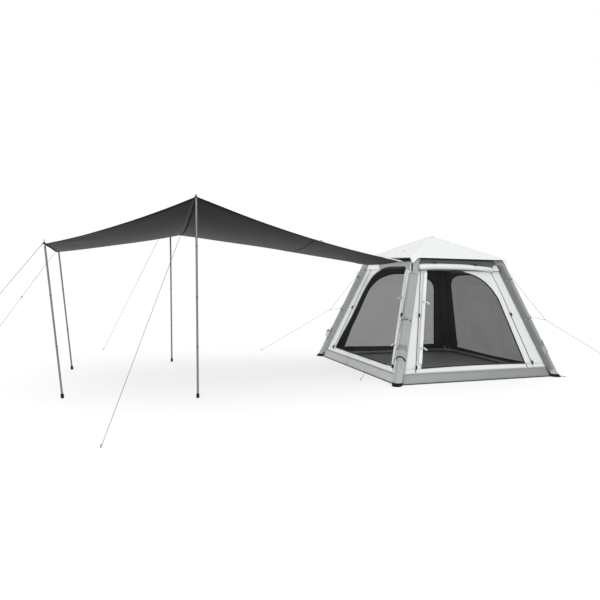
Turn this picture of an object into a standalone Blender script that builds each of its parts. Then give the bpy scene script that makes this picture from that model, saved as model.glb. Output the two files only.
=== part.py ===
# Inflatable camping tent with a side awning on four poles.
# Metres, +Z up. Origin: middle of the tent floor's underside. The front door is on -Y,
# the awning and the second door are on -X.
import math

import bmesh
import bpy
from mathutils import Matrix, Vector

for old in list(bpy.data.objects):
    bpy.data.objects.remove(old, do_unlink=True)

# Tent body
FOOT = 1.380            # half the distance between beam axes at the ground
LEAN = 0.3488           # how far the walls lean in per metre of height
EAVE_Z = 1.735          # height where a beam bends from leg to rafter
EAVE = FOOT - LEAN * EAVE_Z
BEAM_R = 0.066          # inflated beam with its sleeve
BEND_R = 0.12           # radius of the bend at the eave
RAFTER_RISE = 0.4535    # rise per metre along X (or Y) toward the middle
RAFTER_END = 0.115      # distance of a rafter's end from the middle, on the diagonal
PAD_R = 0.0725          # black foot of a beam
PAD_T = 0.035
PAD_FLAT = 0.004        # how much of the foot is pressed flat on the ground

# Roof fly
PEAK_Z = 2.180
FLY_HALF = 0.862
FLY_EAVE_Z = 1.797
FLY_T = 0.0045
TAB_START = 0.88        # where the corner tab begins, as a share of the half side
TAB_DROP = 0.085
TAB_SPREAD = 0.024

# Walls
SHEET_T = 0.0040
GAP = 0.0003
SKIRT_TOP = 0.165
SILL_TOP = 0.225
DOOR_TOP = 1.600
HEADER_TOP = 1.770
FLAP_R = 0.045          # rolled outer flap
FLAP_Z = 1.648
DOOR_ROLL_R = 0.030     # rolled door, tied at its hinge side
FLOOR_T = 0.006
FLOOR_HALF = 1.3720
FLOOR_CORNER = 2.600    # |x| + |y| at the cut corners

# Awning
AW_END = (-5.800, 0.970, 1.802)      # x, half width, edge height at the end poles
AW_RIDGE = (-4.136, 1.360, 2.401)    # at the tall poles
AW_TENT = (-1.020, 0.774, 1.723)     # at the tent
AW_BOW = (0.080, 0.107)              # inward curve of the long edges: end side, tent side
AW_DIP = (0.040, 0.055)              # hang of the long edges
AW_SAG = (0.055, 0.180, 0.341, 0.132, 0.046)  # middle: end, between, ridge, between, tent
AW_END_CURVE, AW_TENT_CURVE = 0.060, 0.050
AW_T = 0.0040
AW_LIP = 0.012          # fabric beyond the grommets
RIDGE_POLE_X, END_POLE_X = -4.095, -5.618
RIDGE_POLE_R, END_POLE_R = 0.0130, 0.0115
POLE_FOOT_R = 0.0175
PIN_R, HOLE_R = 0.0040, 0.0062
RIDGE_SPIKE, END_SPIKE = 0.034, 0.055

# Lines
CORD_R = 0.0022
RIDGE_PEG = (-5.180, 2.990)
END_PEG = (-7.100, 1.650)
CORNER_PEG = 2.280
CORNER_RING = (1.268, 0.868)
CORNER_TIES = (1.470, 0.865)

MATERIALS = {
    "white_fabric": ((0.72, 0.76, 0.73, 1), 0.75, 0.0),
    "grey_sleeve_fabric": ((0.28, 0.30, 0.29, 1), 0.75, 0.0),
    "grey_skirt_fabric": ((0.34, 0.35, 0.34, 1), 0.75, 0.0),
    "dark_header_fabric": ((0.10, 0.11, 0.105, 1), 0.80, 0.0),
    "black_awning_fabric": ((0.02, 0.02, 0.02, 1), 0.80, 0.0),
    "black_mesh": ((0.03, 0.03, 0.03, 1), 0.85, 0.0),
    "floor_fabric": ((0.055, 0.055, 0.055, 1), 0.80, 0.0),
    "pole_steel": ((0.45, 0.46, 0.47, 1), 0.35, 1.0),
    "black_rubber": ((0.012, 0.012, 0.012, 1), 0.70, 0.0),
    "guy_cord": ((0.30, 0.31, 0.30, 1), 0.80, 0.0),
    "white_webbing": ((0.80, 0.81, 0.79, 1), 0.80, 0.0),
}


def material(name):
    mat = bpy.data.materials.get(name)
    if mat is None:
        colour, rough, metal = MATERIALS[name]
        mat = bpy.data.materials.new(name)
        mat.use_nodes = True
        bsdf = mat.node_tree.nodes["Principled BSDF"]
        bsdf.inputs["Base Color"].default_value = colour
        bsdf.inputs["Roughness"].default_value = rough
        bsdf.inputs["Metallic"].default_value = metal
        mat.diffuse_color = colour
    return mat


tent = bpy.data.collections.new("inflatable_tent_with_awning")
cutters = bpy.data.collections.new("cutters")
bpy.context.scene.collection.children.link(tent)
bpy.context.scene.collection.children.link(cutters)


def place(name, data, mat_name, matrix=Matrix(), collection=None):
    obj = bpy.data.objects.new(name, data)
    obj.matrix_world = matrix
    (collection or tent).objects.link(obj)
    if mat_name:
        data.materials.append(material(mat_name))
    if collection is cutters:
        obj.hide_render = True
        obj.display_type = "WIRE"
    return obj


def from_bmesh(name, bm, mat_name, matrix=Matrix(), collection=None, smooth=None):
    mesh = bpy.data.meshes.new(name)
    bm.to_mesh(mesh)
    bm.free()
    obj = place(name, mesh, mat_name, matrix, collection)
    if smooth is not None:
        mesh.shade_smooth()
        mesh.set_sharp_from_angle(angle=math.radians(smooth))
    return obj


def cylinder(name, a, b, radius, sides, mat_name, collection=None):
    a, b = Vector(a), Vector(b)
    bm = bmesh.new()
    bmesh.ops.create_cone(bm, cap_ends=True, segments=sides, radius1=radius, radius2=radius,
                          depth=(b - a).length)
    turn = (b - a).to_track_quat("Z", "Y").to_matrix().to_4x4()
    return from_bmesh(name, bm, mat_name, Matrix.Translation((a + b) / 2) @ turn, collection, 40)


def box(name, size, matrix, mat_name, collection=None):
    bm = bmesh.new()
    bmesh.ops.create_cube(bm, size=1.0, matrix=Matrix.Diagonal((*size, 1)))
    return from_bmesh(name, bm, mat_name, matrix, collection)


def boolean(obj, cutter, operation):
    mod = obj.modifiers.new("cut", "BOOLEAN")
    mod.operation = operation
    mod.solver = "EXACT"
    mod.object = cutter


def rope(name, points, radius, mat_name, resolution, shares=None):
    """A round, closed tube along the points."""
    curve = bpy.data.curves.new(name, "CURVE")
    curve.dimensions = "3D"
    curve.bevel_depth = radius
    curve.bevel_resolution = resolution
    curve.use_fill_caps = True
    spline = curve.splines.new("POLY")
    spline.points.add(len(points) - 1)
    for k, p in enumerate(points):
        spline.points[k].co = (*p, 1)
        spline.points[k].radius = shares[k] if shares else 1.0
    return place(name, curve, mat_name)


# A wall lies in its own tilted plane: u runs along the wall, s runs up the slope.
SLOPE = math.sqrt(1 + LEAN * LEAN)
TILT = math.atan(LEAN)
EDGE_FACTOR = math.sqrt(1 + (LEAN / SLOPE) ** 2)


def wall_matrix(side):
    """Local X along the wall, local Y up the slope, local Z out of the tent."""
    stand = Matrix(((1, 0, 0, 0), (0, LEAN / SLOPE, -1 / SLOPE, -FOOT),
                    (0, 1 / SLOPE, LEAN / SLOPE, 0), (0, 0, 0, 1)))
    if side == "front":
        return stand
    if side == "right":
        return Matrix.Rotation(math.pi / 2, 4, "Z") @ stand
    if side == "back":
        return Matrix.Rotation(math.pi, 4, "Z") @ stand
    return Matrix.Rotation(-math.pi / 2, 4, "Z") @ stand


def mirrored(side):
    """The left wall's door is hung the other way round, beside the same beam as the front's."""
    return -1.0 if side == "left" else 1.0


def sheet(name, outlines, side, mat_name, thickness=SHEET_T, flip=1.0, out=0.0):
    """A flat panel in the wall's plane; outlines are lists of (u, z), the second is a hole."""
    curve = bpy.data.curves.new(name, "CURVE")
    curve.dimensions = "2D"
    curve.fill_mode = "BOTH"
    curve.extrude = thickness / 2
    for outline in outlines:
        spline = curve.splines.new("POLY")
        spline.points.add(len(outline) - 1)
        for k, (u, z) in enumerate(outline):
            spline.points[k].co = (flip * u, z * SLOPE, 0, 1)
        spline.use_cyclic_u = True
    return place(name, curve, mat_name, wall_matrix(side) @ Matrix.Translation((0, 0, out)))


def wall_edge(z, clearance):
    """Half width of a wall at height z, ending beside the beam."""
    return FOOT - LEAN * z - clearance * EDGE_FACTOR


def bezier(p0, p1, p2, p3, n):
    pts = []
    for k in range(n + 1):
        t = k / n
        c = ((1 - t) ** 3, 3 * t * (1 - t) ** 2, 3 * t * t * (1 - t), t ** 3)
        pts.append(tuple(c[0] * p0[i] + c[1] * p1[i] + c[2] * p2[i] + c[3] * p3[i]
                         for i in (0, 1)))
    return pts


def inset(outline, amount):
    """Moves each point of a closed outline inward by the amount."""
    n = len(outline)
    area = sum(outline[i][0] * outline[(i + 1) % n][1] - outline[(i + 1) % n][0] * outline[i][1]
               for i in range(n))
    turn = 1.0 if area > 0 else -1.0
    moved = []
    for i in range(n):
        a, b, c = Vector(outline[i - 1]), Vector(outline[i]), Vector(outline[(i + 1) % n])
        d1, d2 = (b - a).normalized(), (c - b).normalized()
        n1 = Vector((-d1.y, d1.x)) * turn
        n2 = Vector((-d2.y, d2.x)) * turn
        mid = (n1 + n2).normalized()
        moved.append(tuple(b + mid * (amount / max(0.3, mid.dot(n1)))))
    return moved


# Curved side of a doorway, from the sill up to the header, and its straight hinge side.
DOOR_CURVE = [(0.882, SILL_TOP + GAP)] + bezier((0.620, 1.150), (0.535, 1.450), (0.300, 1.590),
                                                (0.090, 1.592), 10)
HINGE_TOP, HINGE_BOTTOM = (-0.600, DOOR_TOP), (-0.960, SILL_TOP + GAP)


def hinge_u(z):
    t = (z - HINGE_BOTTOM[1]) / (HINGE_TOP[1] - HINGE_BOTTOM[1])
    return HINGE_BOTTOM[0] + t * (HINGE_TOP[0] - HINGE_BOTTOM[0])


def both_halves(half):
    return half + [(-u, z) for u, z in reversed(half)]


HEADER = both_halves([(wall_edge(DOOR_TOP + GAP, BEAM_R + GAP), DOOR_TOP + GAP), (0.722, 1.660),
                      (0.692, 1.710), (0.662, HEADER_TOP)])
WINDOW = both_halves([(0.990, 0.200)] + bezier((0.707, 1.270), (0.640, 1.500), (0.450, 1.560),
                                               (0.180, 1.560), 8))
GROUND = 0.0009   # the panel's lower inner edge just clears the ground

for side in ("front", "left", "back", "right"):
    low, top = wall_edge(0, PAD_R + 2 * GAP), wall_edge(SKIRT_TOP, PAD_R + 2 * GAP)
    sheet("skirt_" + side, [both_halves([(low, GROUND), (top, SKIRT_TOP)])], side,
          "grey_skirt_fabric")
    sheet("header_" + side, [HEADER], side, "dark_header_fabric")

for side in ("front", "left"):
    flip = mirrored(side)
    z0, z1 = SKIRT_TOP + GAP, SILL_TOP
    a, b = wall_edge(z0, BEAM_R + GAP), wall_edge(z1, BEAM_R + GAP)
    sheet("sill_" + side, [both_halves([(a, z0), (b, z1)])], side, "white_fabric")
    z0, z1 = SILL_TOP + GAP, DOOR_TOP
    a, b = wall_edge(z0, BEAM_R + GAP), wall_edge(z1, BEAM_R + GAP)
    sheet("wall_%s_hinge_side" % side, [[(-a, z0), HINGE_BOTTOM, HINGE_TOP, (-b, z1)]], side,
          "white_fabric", flip=flip)
    sheet("wall_%s_curved_side" % side, [DOOR_CURVE + [(0.090, z1), (b, z1), (a, z0)]], side,
          "white_fabric", flip=flip)
    # The door, rolled up and tied along its hinge.
    out = SHEET_T / 2 + GAP + DOOR_ROLL_R
    frame = wall_matrix(side)
    shape = ((0.262, 0.60), (0.270, 0.95), (0.60, 1.0), (0.95, 0.95), (1.25, 1.0), (1.555, 0.95),
             (1.564, 0.60))
    rope("rolled_door_" + side,
         [frame @ Vector((flip * (hinge_u(z) - 0.036), z * SLOPE, out)) for z, share in shape],
         DOOR_ROLL_R, "white_fabric", 4, [share for z, share in shape])

for side in ("back", "right"):
    z0, z1 = SKIRT_TOP + GAP, DOOR_TOP
    a, b = wall_edge(z0, BEAM_R + GAP), wall_edge(z1, BEAM_R + GAP)
    sheet("wall_" + side, [both_halves([(a, z0), (b, z1)]), WINDOW], side, "white_fabric")
    sheet("window_mesh_" + side, [inset(WINDOW, 2 * GAP)], side, "black_mesh", 0.002)

# Outer flaps rolled up above the front door and above the two windows.
for side in ("front", "back", "right"):
    frame = wall_matrix(side)
    out = SHEET_T / 2 + GAP + FLAP_R
    shape = ((-0.728, 0.65), (-0.716, 0.95), (-0.35, 1.0), (-0.31, 0.94), (-0.27, 1.0),
             (0.22, 1.0), (0.26, 0.94), (0.30, 1.0), (0.666, 0.95), (0.678, 0.65))
    rope("rolled_flap_" + side,
         [frame @ Vector((u, FLAP_Z * SLOPE, out)) for u, share in shape],
         FLAP_R, "white_fabric", 4, [share for u, share in shape])

# Floor
s, c = FLOOR_HALF, FLOOR_CORNER - FLOOR_HALF
curve = bpy.data.curves.new("tent_floor", "CURVE")
curve.dimensions = "2D"
curve.fill_mode = "BOTH"
curve.extrude = FLOOR_T / 2
spline = curve.splines.new("POLY")
spline.points.add(7)
for k, (x, y) in enumerate([(s, -c), (s, c), (c, s), (-c, s), (-s, c), (-s, -c), (-c, -s),
                            (c, -s)]):
    spline.points[k].co = (x, y, 0, 1)
spline.use_cyclic_u = True
place("tent_floor", curve, "floor_fabric", Matrix.Translation((0, 0, FLOOR_T / 2)))

# Inflated beams: leg, bend and rafter in one tube, each on a black foot.
CORNERS = {"front_left": (-1, -1), "front_right": (1, -1), "back_left": (-1, 1),
           "back_right": (1, 1)}
LEG = Vector((-LEAN, -LEAN, 1)).normalized()
RAFTER = Vector((-1, -1, RAFTER_RISE)).normalized()
LEG_TILT = math.hypot(LEG.x, LEG.y)
PAD_START = (PAD_R * LEG_TILT - PAD_FLAT) / LEG.z
CROWN_Z = EAVE_Z + RAFTER_RISE * EAVE
ground = box("ground_cutter", (8, 8, 1), Matrix.Translation((0, 0, -0.5)), None, cutters)


def beam_path():
    foot = Vector((FOOT, FOOT, 0))
    bend = Vector((EAVE, EAVE, EAVE_Z))
    angle = LEG.angle(RAFTER)
    centre = bend + (RAFTER - LEG).normalized() * (BEND_R / math.cos(angle / 2))
    arm = bend - LEG * (BEND_R * math.tan(angle / 2)) - centre
    spin = LEG.cross(RAFTER).normalized()
    pts = [foot + LEG * (PAD_START + PAD_T + GAP)]
    pts += [centre + Matrix.Rotation(angle * k / 6, 3, spin) @ arm for k in range(7)]
    end = RAFTER_END / math.sqrt(2)
    pts.append(Vector((end, end, CROWN_Z - RAFTER_RISE * end)))
    return pts


for name, (sx, sy) in CORNERS.items():
    flip = Vector((sx, sy, 1))
    rope("air_beam_" + name, [p * flip for p in beam_path()], BEAM_R, "grey_sleeve_fabric", 6)
    foot = Vector((FOOT, FOOT, 0))
    pad = cylinder("beam_foot_" + name, (foot + LEG * PAD_START) * flip,
                   (foot + LEG * (PAD_START + PAD_T)) * flip, PAD_R, 24, "black_rubber")
    bevel = pad.modifiers.new("round", "BEVEL")
    bevel.width = 0.004
    bevel.segments = 1
    boolean(pad, ground, "DIFFERENCE")

# Crown piece that the four rafters meet.
z0, z1 = 1.990, 2.095
end_z = CROWN_Z - RAFTER_RISE * RAFTER_END / math.sqrt(2)
reach = [(RAFTER_END + RAFTER_RISE / math.sqrt(2) * (z - end_z) - 2 * GAP) * math.sqrt(2)
         for z in (z0, z1)]
bm = bmesh.new()
bmesh.ops.create_cone(bm, cap_ends=True, segments=4, radius1=reach[0], radius2=reach[1],
                      depth=z1 - z0)
hub = from_bmesh("crown_hub", bm, "grey_sleeve_fabric", Matrix.Translation((0, 0, (z0 + z1) / 2)))
boolean(hub, cylinder("hub_rim", (0, 0, 1.9), (0, 0, 2.2), 0.122, 24, None, cutters), "INTERSECT")

# Roof fly: one sheet over the rafters, with a hem and a pointed tab at each corner.
ROWS = (0.0, 0.20, 0.40, 0.60, 0.78, 0.87, 0.93, 0.955, 0.978, 1.0)
EAVE_ROW = 6


def fly_point(i, j):
    ring = max(abs(i), abs(j))
    if ring == 0:
        return Vector((0, 0, PEAK_Z))
    share = min(1.0, ROWS[ring] / ROWS[EAVE_ROW])
    fall = max(0, ring - EAVE_ROW) / (len(ROWS) - 1 - EAVE_ROW)
    tx = math.copysign(ROWS[abs(i)] / ROWS[ring], i)
    ty = math.copysign(ROWS[abs(j)] / ROWS[ring], j)
    t = min(abs(tx), abs(ty))
    tab = max(0.0, (t - TAB_START) / (1 - TAB_START)) ** 1.5
    size = (FLY_HALF + TAB_SPREAD * tab * fall + 0.0015 * fall) * share
    size /= (abs(tx) ** 26 + abs(ty) ** 26) ** (1 / 26)
    z = PEAK_Z - (PEAK_Z - FLY_EAVE_Z) * share - 0.014 * math.sin(math.pi * share) * (1 - t * t)
    return Vector((tx * size, ty * size, z - fall * (0.012 + TAB_DROP * tab)))


n = len(ROWS) - 1
bm = bmesh.new()
bmesh.ops.create_grid(bm, x_segments=2 * n, y_segments=2 * n, size=n)
# The faces over a rafter are split along it, so the crease runs up to the peak.
for face in list(bm.faces):
    on_rafter = [v for v in face.verts if abs(round(v.co.x)) == abs(round(v.co.y))]
    if len(on_rafter) == 2:
        bmesh.utils.face_split(face, on_rafter[0], on_rafter[1])
for v in bm.verts:
    v.co = fly_point(round(v.co.x), round(v.co.y))
fly = from_bmesh("roof_fly", bm, "white_fabric", smooth=40)
shell = fly.modifiers.new("thickness", "SOLIDIFY")
shell.thickness = FLY_T
shell.offset = -1

# Valve pouch on the outside of the back left beam.
z = 0.428
pouch = box("valve_pouch", (0.040, 0.092, 0.120),
            Matrix.Translation((-(FOOT - LEAN * z + BEAM_R * EDGE_FACTOR + 0.0245),
                                FOOT - LEAN * z + 0.02, z))
            @ Matrix.Rotation(TILT, 4, "Y"), "grey_sleeve_fabric")
bevel = pouch.modifiers.new("round", "BEVEL")
bevel.width = 0.012
bevel.segments = 2


# Awning canopy: a saddle stretched between the two tall poles, the two end poles and the tent.
def blend(t, a, b, c):
    return a * (1 - t) * (1 - 2 * t) + 4 * b * t * (1 - t) + c * t * (2 * t - 1)


def canopy_point(x, v):
    if x <= AW_RIDGE[0]:
        (x0, w0, z0), (x1, w1, z1), sags, k = AW_END, AW_RIDGE, AW_SAG[:3], 0
    else:
        (x0, w0, z0), (x1, w1, z1), sags, k = AW_RIDGE, AW_TENT, AW_SAG[2:], 1
    t = (x - x0) / (x1 - x0)
    arch = 4 * t * (1 - t)
    w = w0 + (w1 - w0) * t - AW_BOW[k] * arch + AW_LIP
    z = z0 + (z1 - z0) * t - AW_DIP[k] * arch - blend(t, *sags) * (1 - v * v)
    # Each end edge curves in between its corners.
    if k == 0:
        x += (1 - t) ** 3 * (AW_END_CURVE * (1 - v * v) - AW_LIP)
    else:
        x -= t ** 6 * AW_TENT_CURVE * (1 - v * v)
    return Vector((x, v * w, z))


END_ROWS, TENT_ROWS, CROSS_ROWS = 9, 16, 12
bm = bmesh.new()
bmesh.ops.create_grid(bm, x_segments=END_ROWS + TENT_ROWS, y_segments=CROSS_ROWS, size=1)
for v in bm.verts:
    row = round((v.co.x + 1) / 2 * (END_ROWS + TENT_ROWS))
    if row <= END_ROWS:
        x = AW_END[0] + (AW_RIDGE[0] - AW_END[0]) * row / END_ROWS
    else:
        x = AW_RIDGE[0] + (AW_TENT[0] - AW_RIDGE[0]) * (row - END_ROWS) / TENT_ROWS
    v.co = canopy_point(x, v.co.y)
canopy = from_bmesh("awning_canopy", bm, "black_awning_fabric", smooth=30)
shell = canopy.modifiers.new("thickness", "SOLIDIFY")
shell.thickness = AW_T
shell.offset = 0


# Poles: a foot end, a shaft and a pin that passes through the canopy's grommet.
def pole(name, x0, top, y, radius, spike):
    base, head = Vector((x0, y, 0)), Vector((top[0], y, top[2]))
    length = (head - base).length
    lift = POLE_FOOT_R * abs(head.x - base.x) / length
    shoulder = length - 0.0180
    profile = [(0.0, length + spike), (PIN_R * 0.6, length + spike), (PIN_R, length + spike - 0.004),
               (PIN_R, shoulder), (radius * 0.8, shoulder), (radius, shoulder - 0.003),
               (radius, 0.052), (POLE_FOOT_R, 0.050), (POLE_FOOT_R, 0.004),
               (POLE_FOOT_R - 0.003, 0.0), (0.0, 0.0)]
    bm = bmesh.new()
    points = [bm.verts.new((r, 0, z)) for r, z in profile]
    for a, b in zip(points, points[1:]):
        bm.edges.new((a, b))
    turn = (head - base).to_track_quat("Z", "Y").to_matrix().to_4x4()
    obj = from_bmesh(name, bm, "pole_steel", Matrix.Translation(base + Vector((0, 0, lift))) @ turn)
    screw = obj.modifiers.new("turn", "SCREW")
    screw.axis = "Z"
    screw.steps = screw.render_steps = 14
    screw.use_merge_vertices = True
    screw.merge_threshold = 0.0001
    boolean(canopy, cylinder("grommet_" + name, head - Vector((0, 0, 0.05)),
                             head + Vector((0, 0, 0.05)), HOLE_R, 12, None, cutters),
            "DIFFERENCE")


SIDES_Y = {"front": -1, "back": 1}
for tag, sy in SIDES_Y.items():
    pole("ridge_pole_" + tag, RIDGE_POLE_X, AW_RIDGE, sy * AW_RIDGE[1], RIDGE_POLE_R, RIDGE_SPIKE)
    pole("end_pole_" + tag, END_POLE_X, AW_END, sy * AW_END[1], END_POLE_R, END_SPIKE)

# Awning guy lines, from each pole's pin down to the ground.
for tag, sy in SIDES_Y.items():
    for kind, (x, w, z), peg in (("ridge", AW_RIDGE, RIDGE_PEG), ("end", AW_END, END_PEG)):
        out = Vector((peg[0] - x, peg[1] - w, 0)).normalized() * (PIN_R + CORD_R + 0.0012)
        a = Vector((x + out.x, sy * (w + out.y), z + 0.024))
        b = Vector((peg[0], sy * peg[1], CORD_R))
        cylinder("awning_guy_%s_%s" % (kind, tag), a, b, CORD_R, 8, "guy_cord")

# Corner guy lines: two short ties from the beam meet in a ring, one line goes on to the ground.
for name in ("front_right", "back_left", "back_right"):
    flip = Vector((*CORNERS[name], 1))
    ring_at = Vector((CORNER_RING[0], CORNER_RING[0], CORNER_RING[1])) * flip
    peg = Vector((CORNER_PEG, CORNER_PEG, CORD_R)) * flip
    outward = Vector((1, 1, 0)).normalized()
    outward = (outward - LEG * outward.dot(LEG)).normalized()
    guy = cylinder("corner_guy_" + name, ring_at, peg, CORD_R, 8, "guy_cord")
    for k, z in enumerate(CORNER_TIES):
        tie = Vector((FOOT - LEAN * z, FOOT - LEAN * z, z)) + outward * (BEAM_R + CORD_R + 0.001)
        boolean(guy, cylinder("tie_%s_%d" % (name, k), ring_at, tie * flip, CORD_R, 8, None,
                              cutters), "UNION")
    bm = bmesh.new()
    bmesh.ops.create_uvsphere(bm, u_segments=12, v_segments=8, radius=0.010)
    knot = from_bmesh("knot_" + name, bm, None, Matrix.Translation(ring_at), cutters)
    boolean(guy, knot, "UNION")

# Short white straps from the canopy's two tent corners to the beams.
for tag, sy in SIDES_Y.items():
    a = Vector((AW_TENT[0] + 0.0030, sy * (AW_TENT[1] - 0.002), AW_TENT[2]))
    b = Vector((-0.8640, sy * 0.795, 1.700))
    turn = (b - a).to_track_quat("X", "Z").to_matrix().to_4x4()
    box("awning_strap_" + tag, ((b - a).length, 0.020, 0.003),
        Matrix.Translation((a + b) / 2) @ turn, "white_webbing")
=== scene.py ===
import math

import bpy
import numpy as np
from mathutils import Matrix, Vector, noise
from mathutils.geometry import delaunay_2d_cdt


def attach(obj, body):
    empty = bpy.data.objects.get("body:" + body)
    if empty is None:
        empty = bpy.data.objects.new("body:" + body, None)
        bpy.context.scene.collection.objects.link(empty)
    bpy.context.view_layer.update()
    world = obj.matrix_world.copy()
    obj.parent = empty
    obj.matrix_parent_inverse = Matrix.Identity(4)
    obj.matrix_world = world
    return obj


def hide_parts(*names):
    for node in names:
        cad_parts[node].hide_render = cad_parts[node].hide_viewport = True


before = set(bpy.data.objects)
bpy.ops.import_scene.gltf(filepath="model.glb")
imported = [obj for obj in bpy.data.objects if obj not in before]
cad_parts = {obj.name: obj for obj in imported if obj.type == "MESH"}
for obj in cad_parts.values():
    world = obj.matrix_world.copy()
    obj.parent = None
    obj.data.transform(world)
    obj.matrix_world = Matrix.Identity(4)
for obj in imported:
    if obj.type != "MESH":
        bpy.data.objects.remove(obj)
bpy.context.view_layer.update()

# Values shared with the part's source, metres
FOOT, LEAN, EAVE_Z = 1.380, 0.3488, 1.735
EAVE = FOOT - LEAN * EAVE_Z
BEAM_R, BEND_R = 0.066, 0.12
RAFTER_RISE, RAFTER_END = 0.4535, 0.115
PAD_R, PAD_T, PAD_FLAT = 0.0725, 0.035, 0.004
PEAK_Z, FLY_HALF, FLY_EAVE_Z = 2.180, 0.862, 1.797
TAB_START, TAB_DROP, TAB_SPREAD = 0.88, 0.085, 0.024
GAP = 0.0003
SKIRT_TOP, SILL_TOP, DOOR_TOP, HEADER_TOP = 0.165, 0.225, 1.600, 1.770
FLAP_R, FLAP_Z = 0.045, 1.648
DOOR_ROLL_R = 0.030
FLOOR_T, FLOOR_HALF, FLOOR_CORNER = 0.006, 1.3720, 2.600
AW_END = (-5.800, 0.970, 1.802)
AW_RIDGE = (-4.136, 1.360, 2.401)
AW_TENT = (-1.020, 0.774, 1.723)
AW_BOW, AW_DIP = (0.080, 0.107), (0.040, 0.055)
AW_SAG = (0.055, 0.195, 0.366, 0.140, 0.046)
AW_END_CURVE, AW_TENT_CURVE, AW_LIP = 0.060, 0.050, 0.012
RIDGE_POLE_X, END_POLE_X = -4.095, -5.618
RIDGE_POLE_R, END_POLE_R, PIN_R = 0.0130, 0.0115, 0.0040
CORD_R = 0.0022
RIDGE_PEG, END_PEG = (-5.180, 2.990), (-7.100, 1.650)
CORNER_PEG, CORNER_RING, CORNER_TIES = 2.280, (1.268, 0.868), (1.470, 0.865)
SLOPE = math.sqrt(1 + LEAN * LEAN)
EDGE = math.sqrt(1 + (LEAN / SLOPE) ** 2)
LEG = Vector((-LEAN, -LEAN, 1)).normalized()
RAFTER = Vector((-1, -1, RAFTER_RISE)).normalized()
CROWN_Z = EAVE_Z + RAFTER_RISE * EAVE
CORNERS = {"front_left": (-1, -1), "front_right": (1, -1), "back_left": (-1, 1),
           "back_right": (1, 1)}

STAND = Matrix(((1, 0, 0, 0), (0, LEAN / SLOPE, -1 / SLOPE, -FOOT),
                (0, 1 / SLOPE, LEAN / SLOPE, 0), (0, 0, 0, 1)))
TURN = {"front": 0, "right": math.pi / 2, "back": math.pi, "left": -math.pi / 2}
WALL = {side: Matrix.Rotation(a, 4, "Z") @ STAND for side, a in TURN.items()}


def at(side, u, z, out=0.0):
    """A point of a wall's plane: u along it, z its height, out away from the tent."""
    return WALL[side] @ Vector(((-u if side == "left" else u), z * SLOPE, out))


def out_of(side):
    return (WALL[side].to_3x3() @ Vector((0, 0, 1))).normalized()


def wall_edge(z, clearance=BEAM_R + GAP):
    return FOOT - LEAN * z - clearance * EDGE


# Materials
class Nodes:
    def __init__(self, name, rough, spec=0.5, metal=0.0, sheen=0.0, sheen_rough=0.5):
        self.mat = bpy.data.materials.new(name)
        self.mat.use_nodes = True
        self.tree = self.mat.node_tree
        self.bsdf = self.tree.nodes["Principled BSDF"]
        self.bsdf.inputs["Roughness"].default_value = rough
        self.bsdf.inputs["Specular IOR Level"].default_value = spec
        self.bsdf.inputs["Metallic"].default_value = metal
        self.bsdf.inputs["Sheen Weight"].default_value = sheen
        self.bsdf.inputs["Sheen Roughness"].default_value = sheen_rough
        self.coord = self.tree.nodes.new("ShaderNodeTexCoord")

    def put(self, socket, value):
        if isinstance(value, bpy.types.NodeSocket):
            self.tree.links.new(value, socket)
        else:
            socket.default_value = value

    def math(self, kind, a, b=0.0, clamp=False):
        n = self.tree.nodes.new("ShaderNodeMath")
        n.operation, n.use_clamp = kind, clamp
        self.put(n.inputs[0], a)
        self.put(n.inputs[1], b)
        return n.outputs[0]

    def wave(self, period, axis, where="UV", profile="SIN"):
        n = self.tree.nodes.new("ShaderNodeTexWave")
        n.bands_direction, n.wave_profile = axis, profile
        n.inputs["Scale"].default_value = math.pi / 10 / period
        self.put(n.inputs["Vector"], self.coord.outputs[where])
        return n.outputs["Fac"]

    def noise(self, scale, detail=3.0, where="Object", stretch=None, rough=0.55):
        n = self.tree.nodes.new("ShaderNodeTexNoise")
        n.inputs["Scale"].default_value = scale
        n.inputs["Detail"].default_value = detail
        n.inputs["Roughness"].default_value = rough
        vector = self.coord.outputs[where]
        if stretch:
            m = self.tree.nodes.new("ShaderNodeMapping")
            m.inputs["Scale"].default_value = stretch
            self.put(m.inputs["Vector"], vector)
            vector = m.outputs[0]
        self.put(n.inputs["Vector"], vector)
        return n.outputs["Fac"]

    def ramp(self, fac, stops):
        n = self.tree.nodes.new("ShaderNodeValToRGB")
        while len(n.color_ramp.elements) < len(stops):
            n.color_ramp.elements.new(0.5)
        for e, (pos, colour) in zip(n.color_ramp.elements, stops):
            e.position, e.color = pos, (*colour, 1)
        self.put(n.inputs[0], fac)
        return n.outputs[0]

    def mix(self, fac, a, b, kind="MIX"):
        n = self.tree.nodes.new("ShaderNodeMix")
        n.data_type, n.blend_type = "RGBA", kind
        self.put(n.inputs[0], fac)
        self.put(n.inputs[6], a if isinstance(a, bpy.types.NodeSocket) else (*a, 1))
        self.put(n.inputs[7], b if isinstance(b, bpy.types.NodeSocket) else (*b, 1))
        return n.outputs[2]

    def bump(self, height, strength, distance, under=None):
        n = self.tree.nodes.new("ShaderNodeBump")
        n.inputs["Strength"].default_value = strength
        n.inputs["Distance"].default_value = distance
        self.put(n.inputs["Height"], height)
        if under is not None:
            self.put(n.inputs["Normal"], under)
        return n.outputs[0]

    def colour(self, value):
        self.put(self.bsdf.inputs["Base Color"], value)

    def normal(self, value):
        self.put(self.bsdf.inputs["Normal"], value)


def scaled(colour, k):
    return tuple(min(1.0, c * k) for c in colour)


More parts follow.
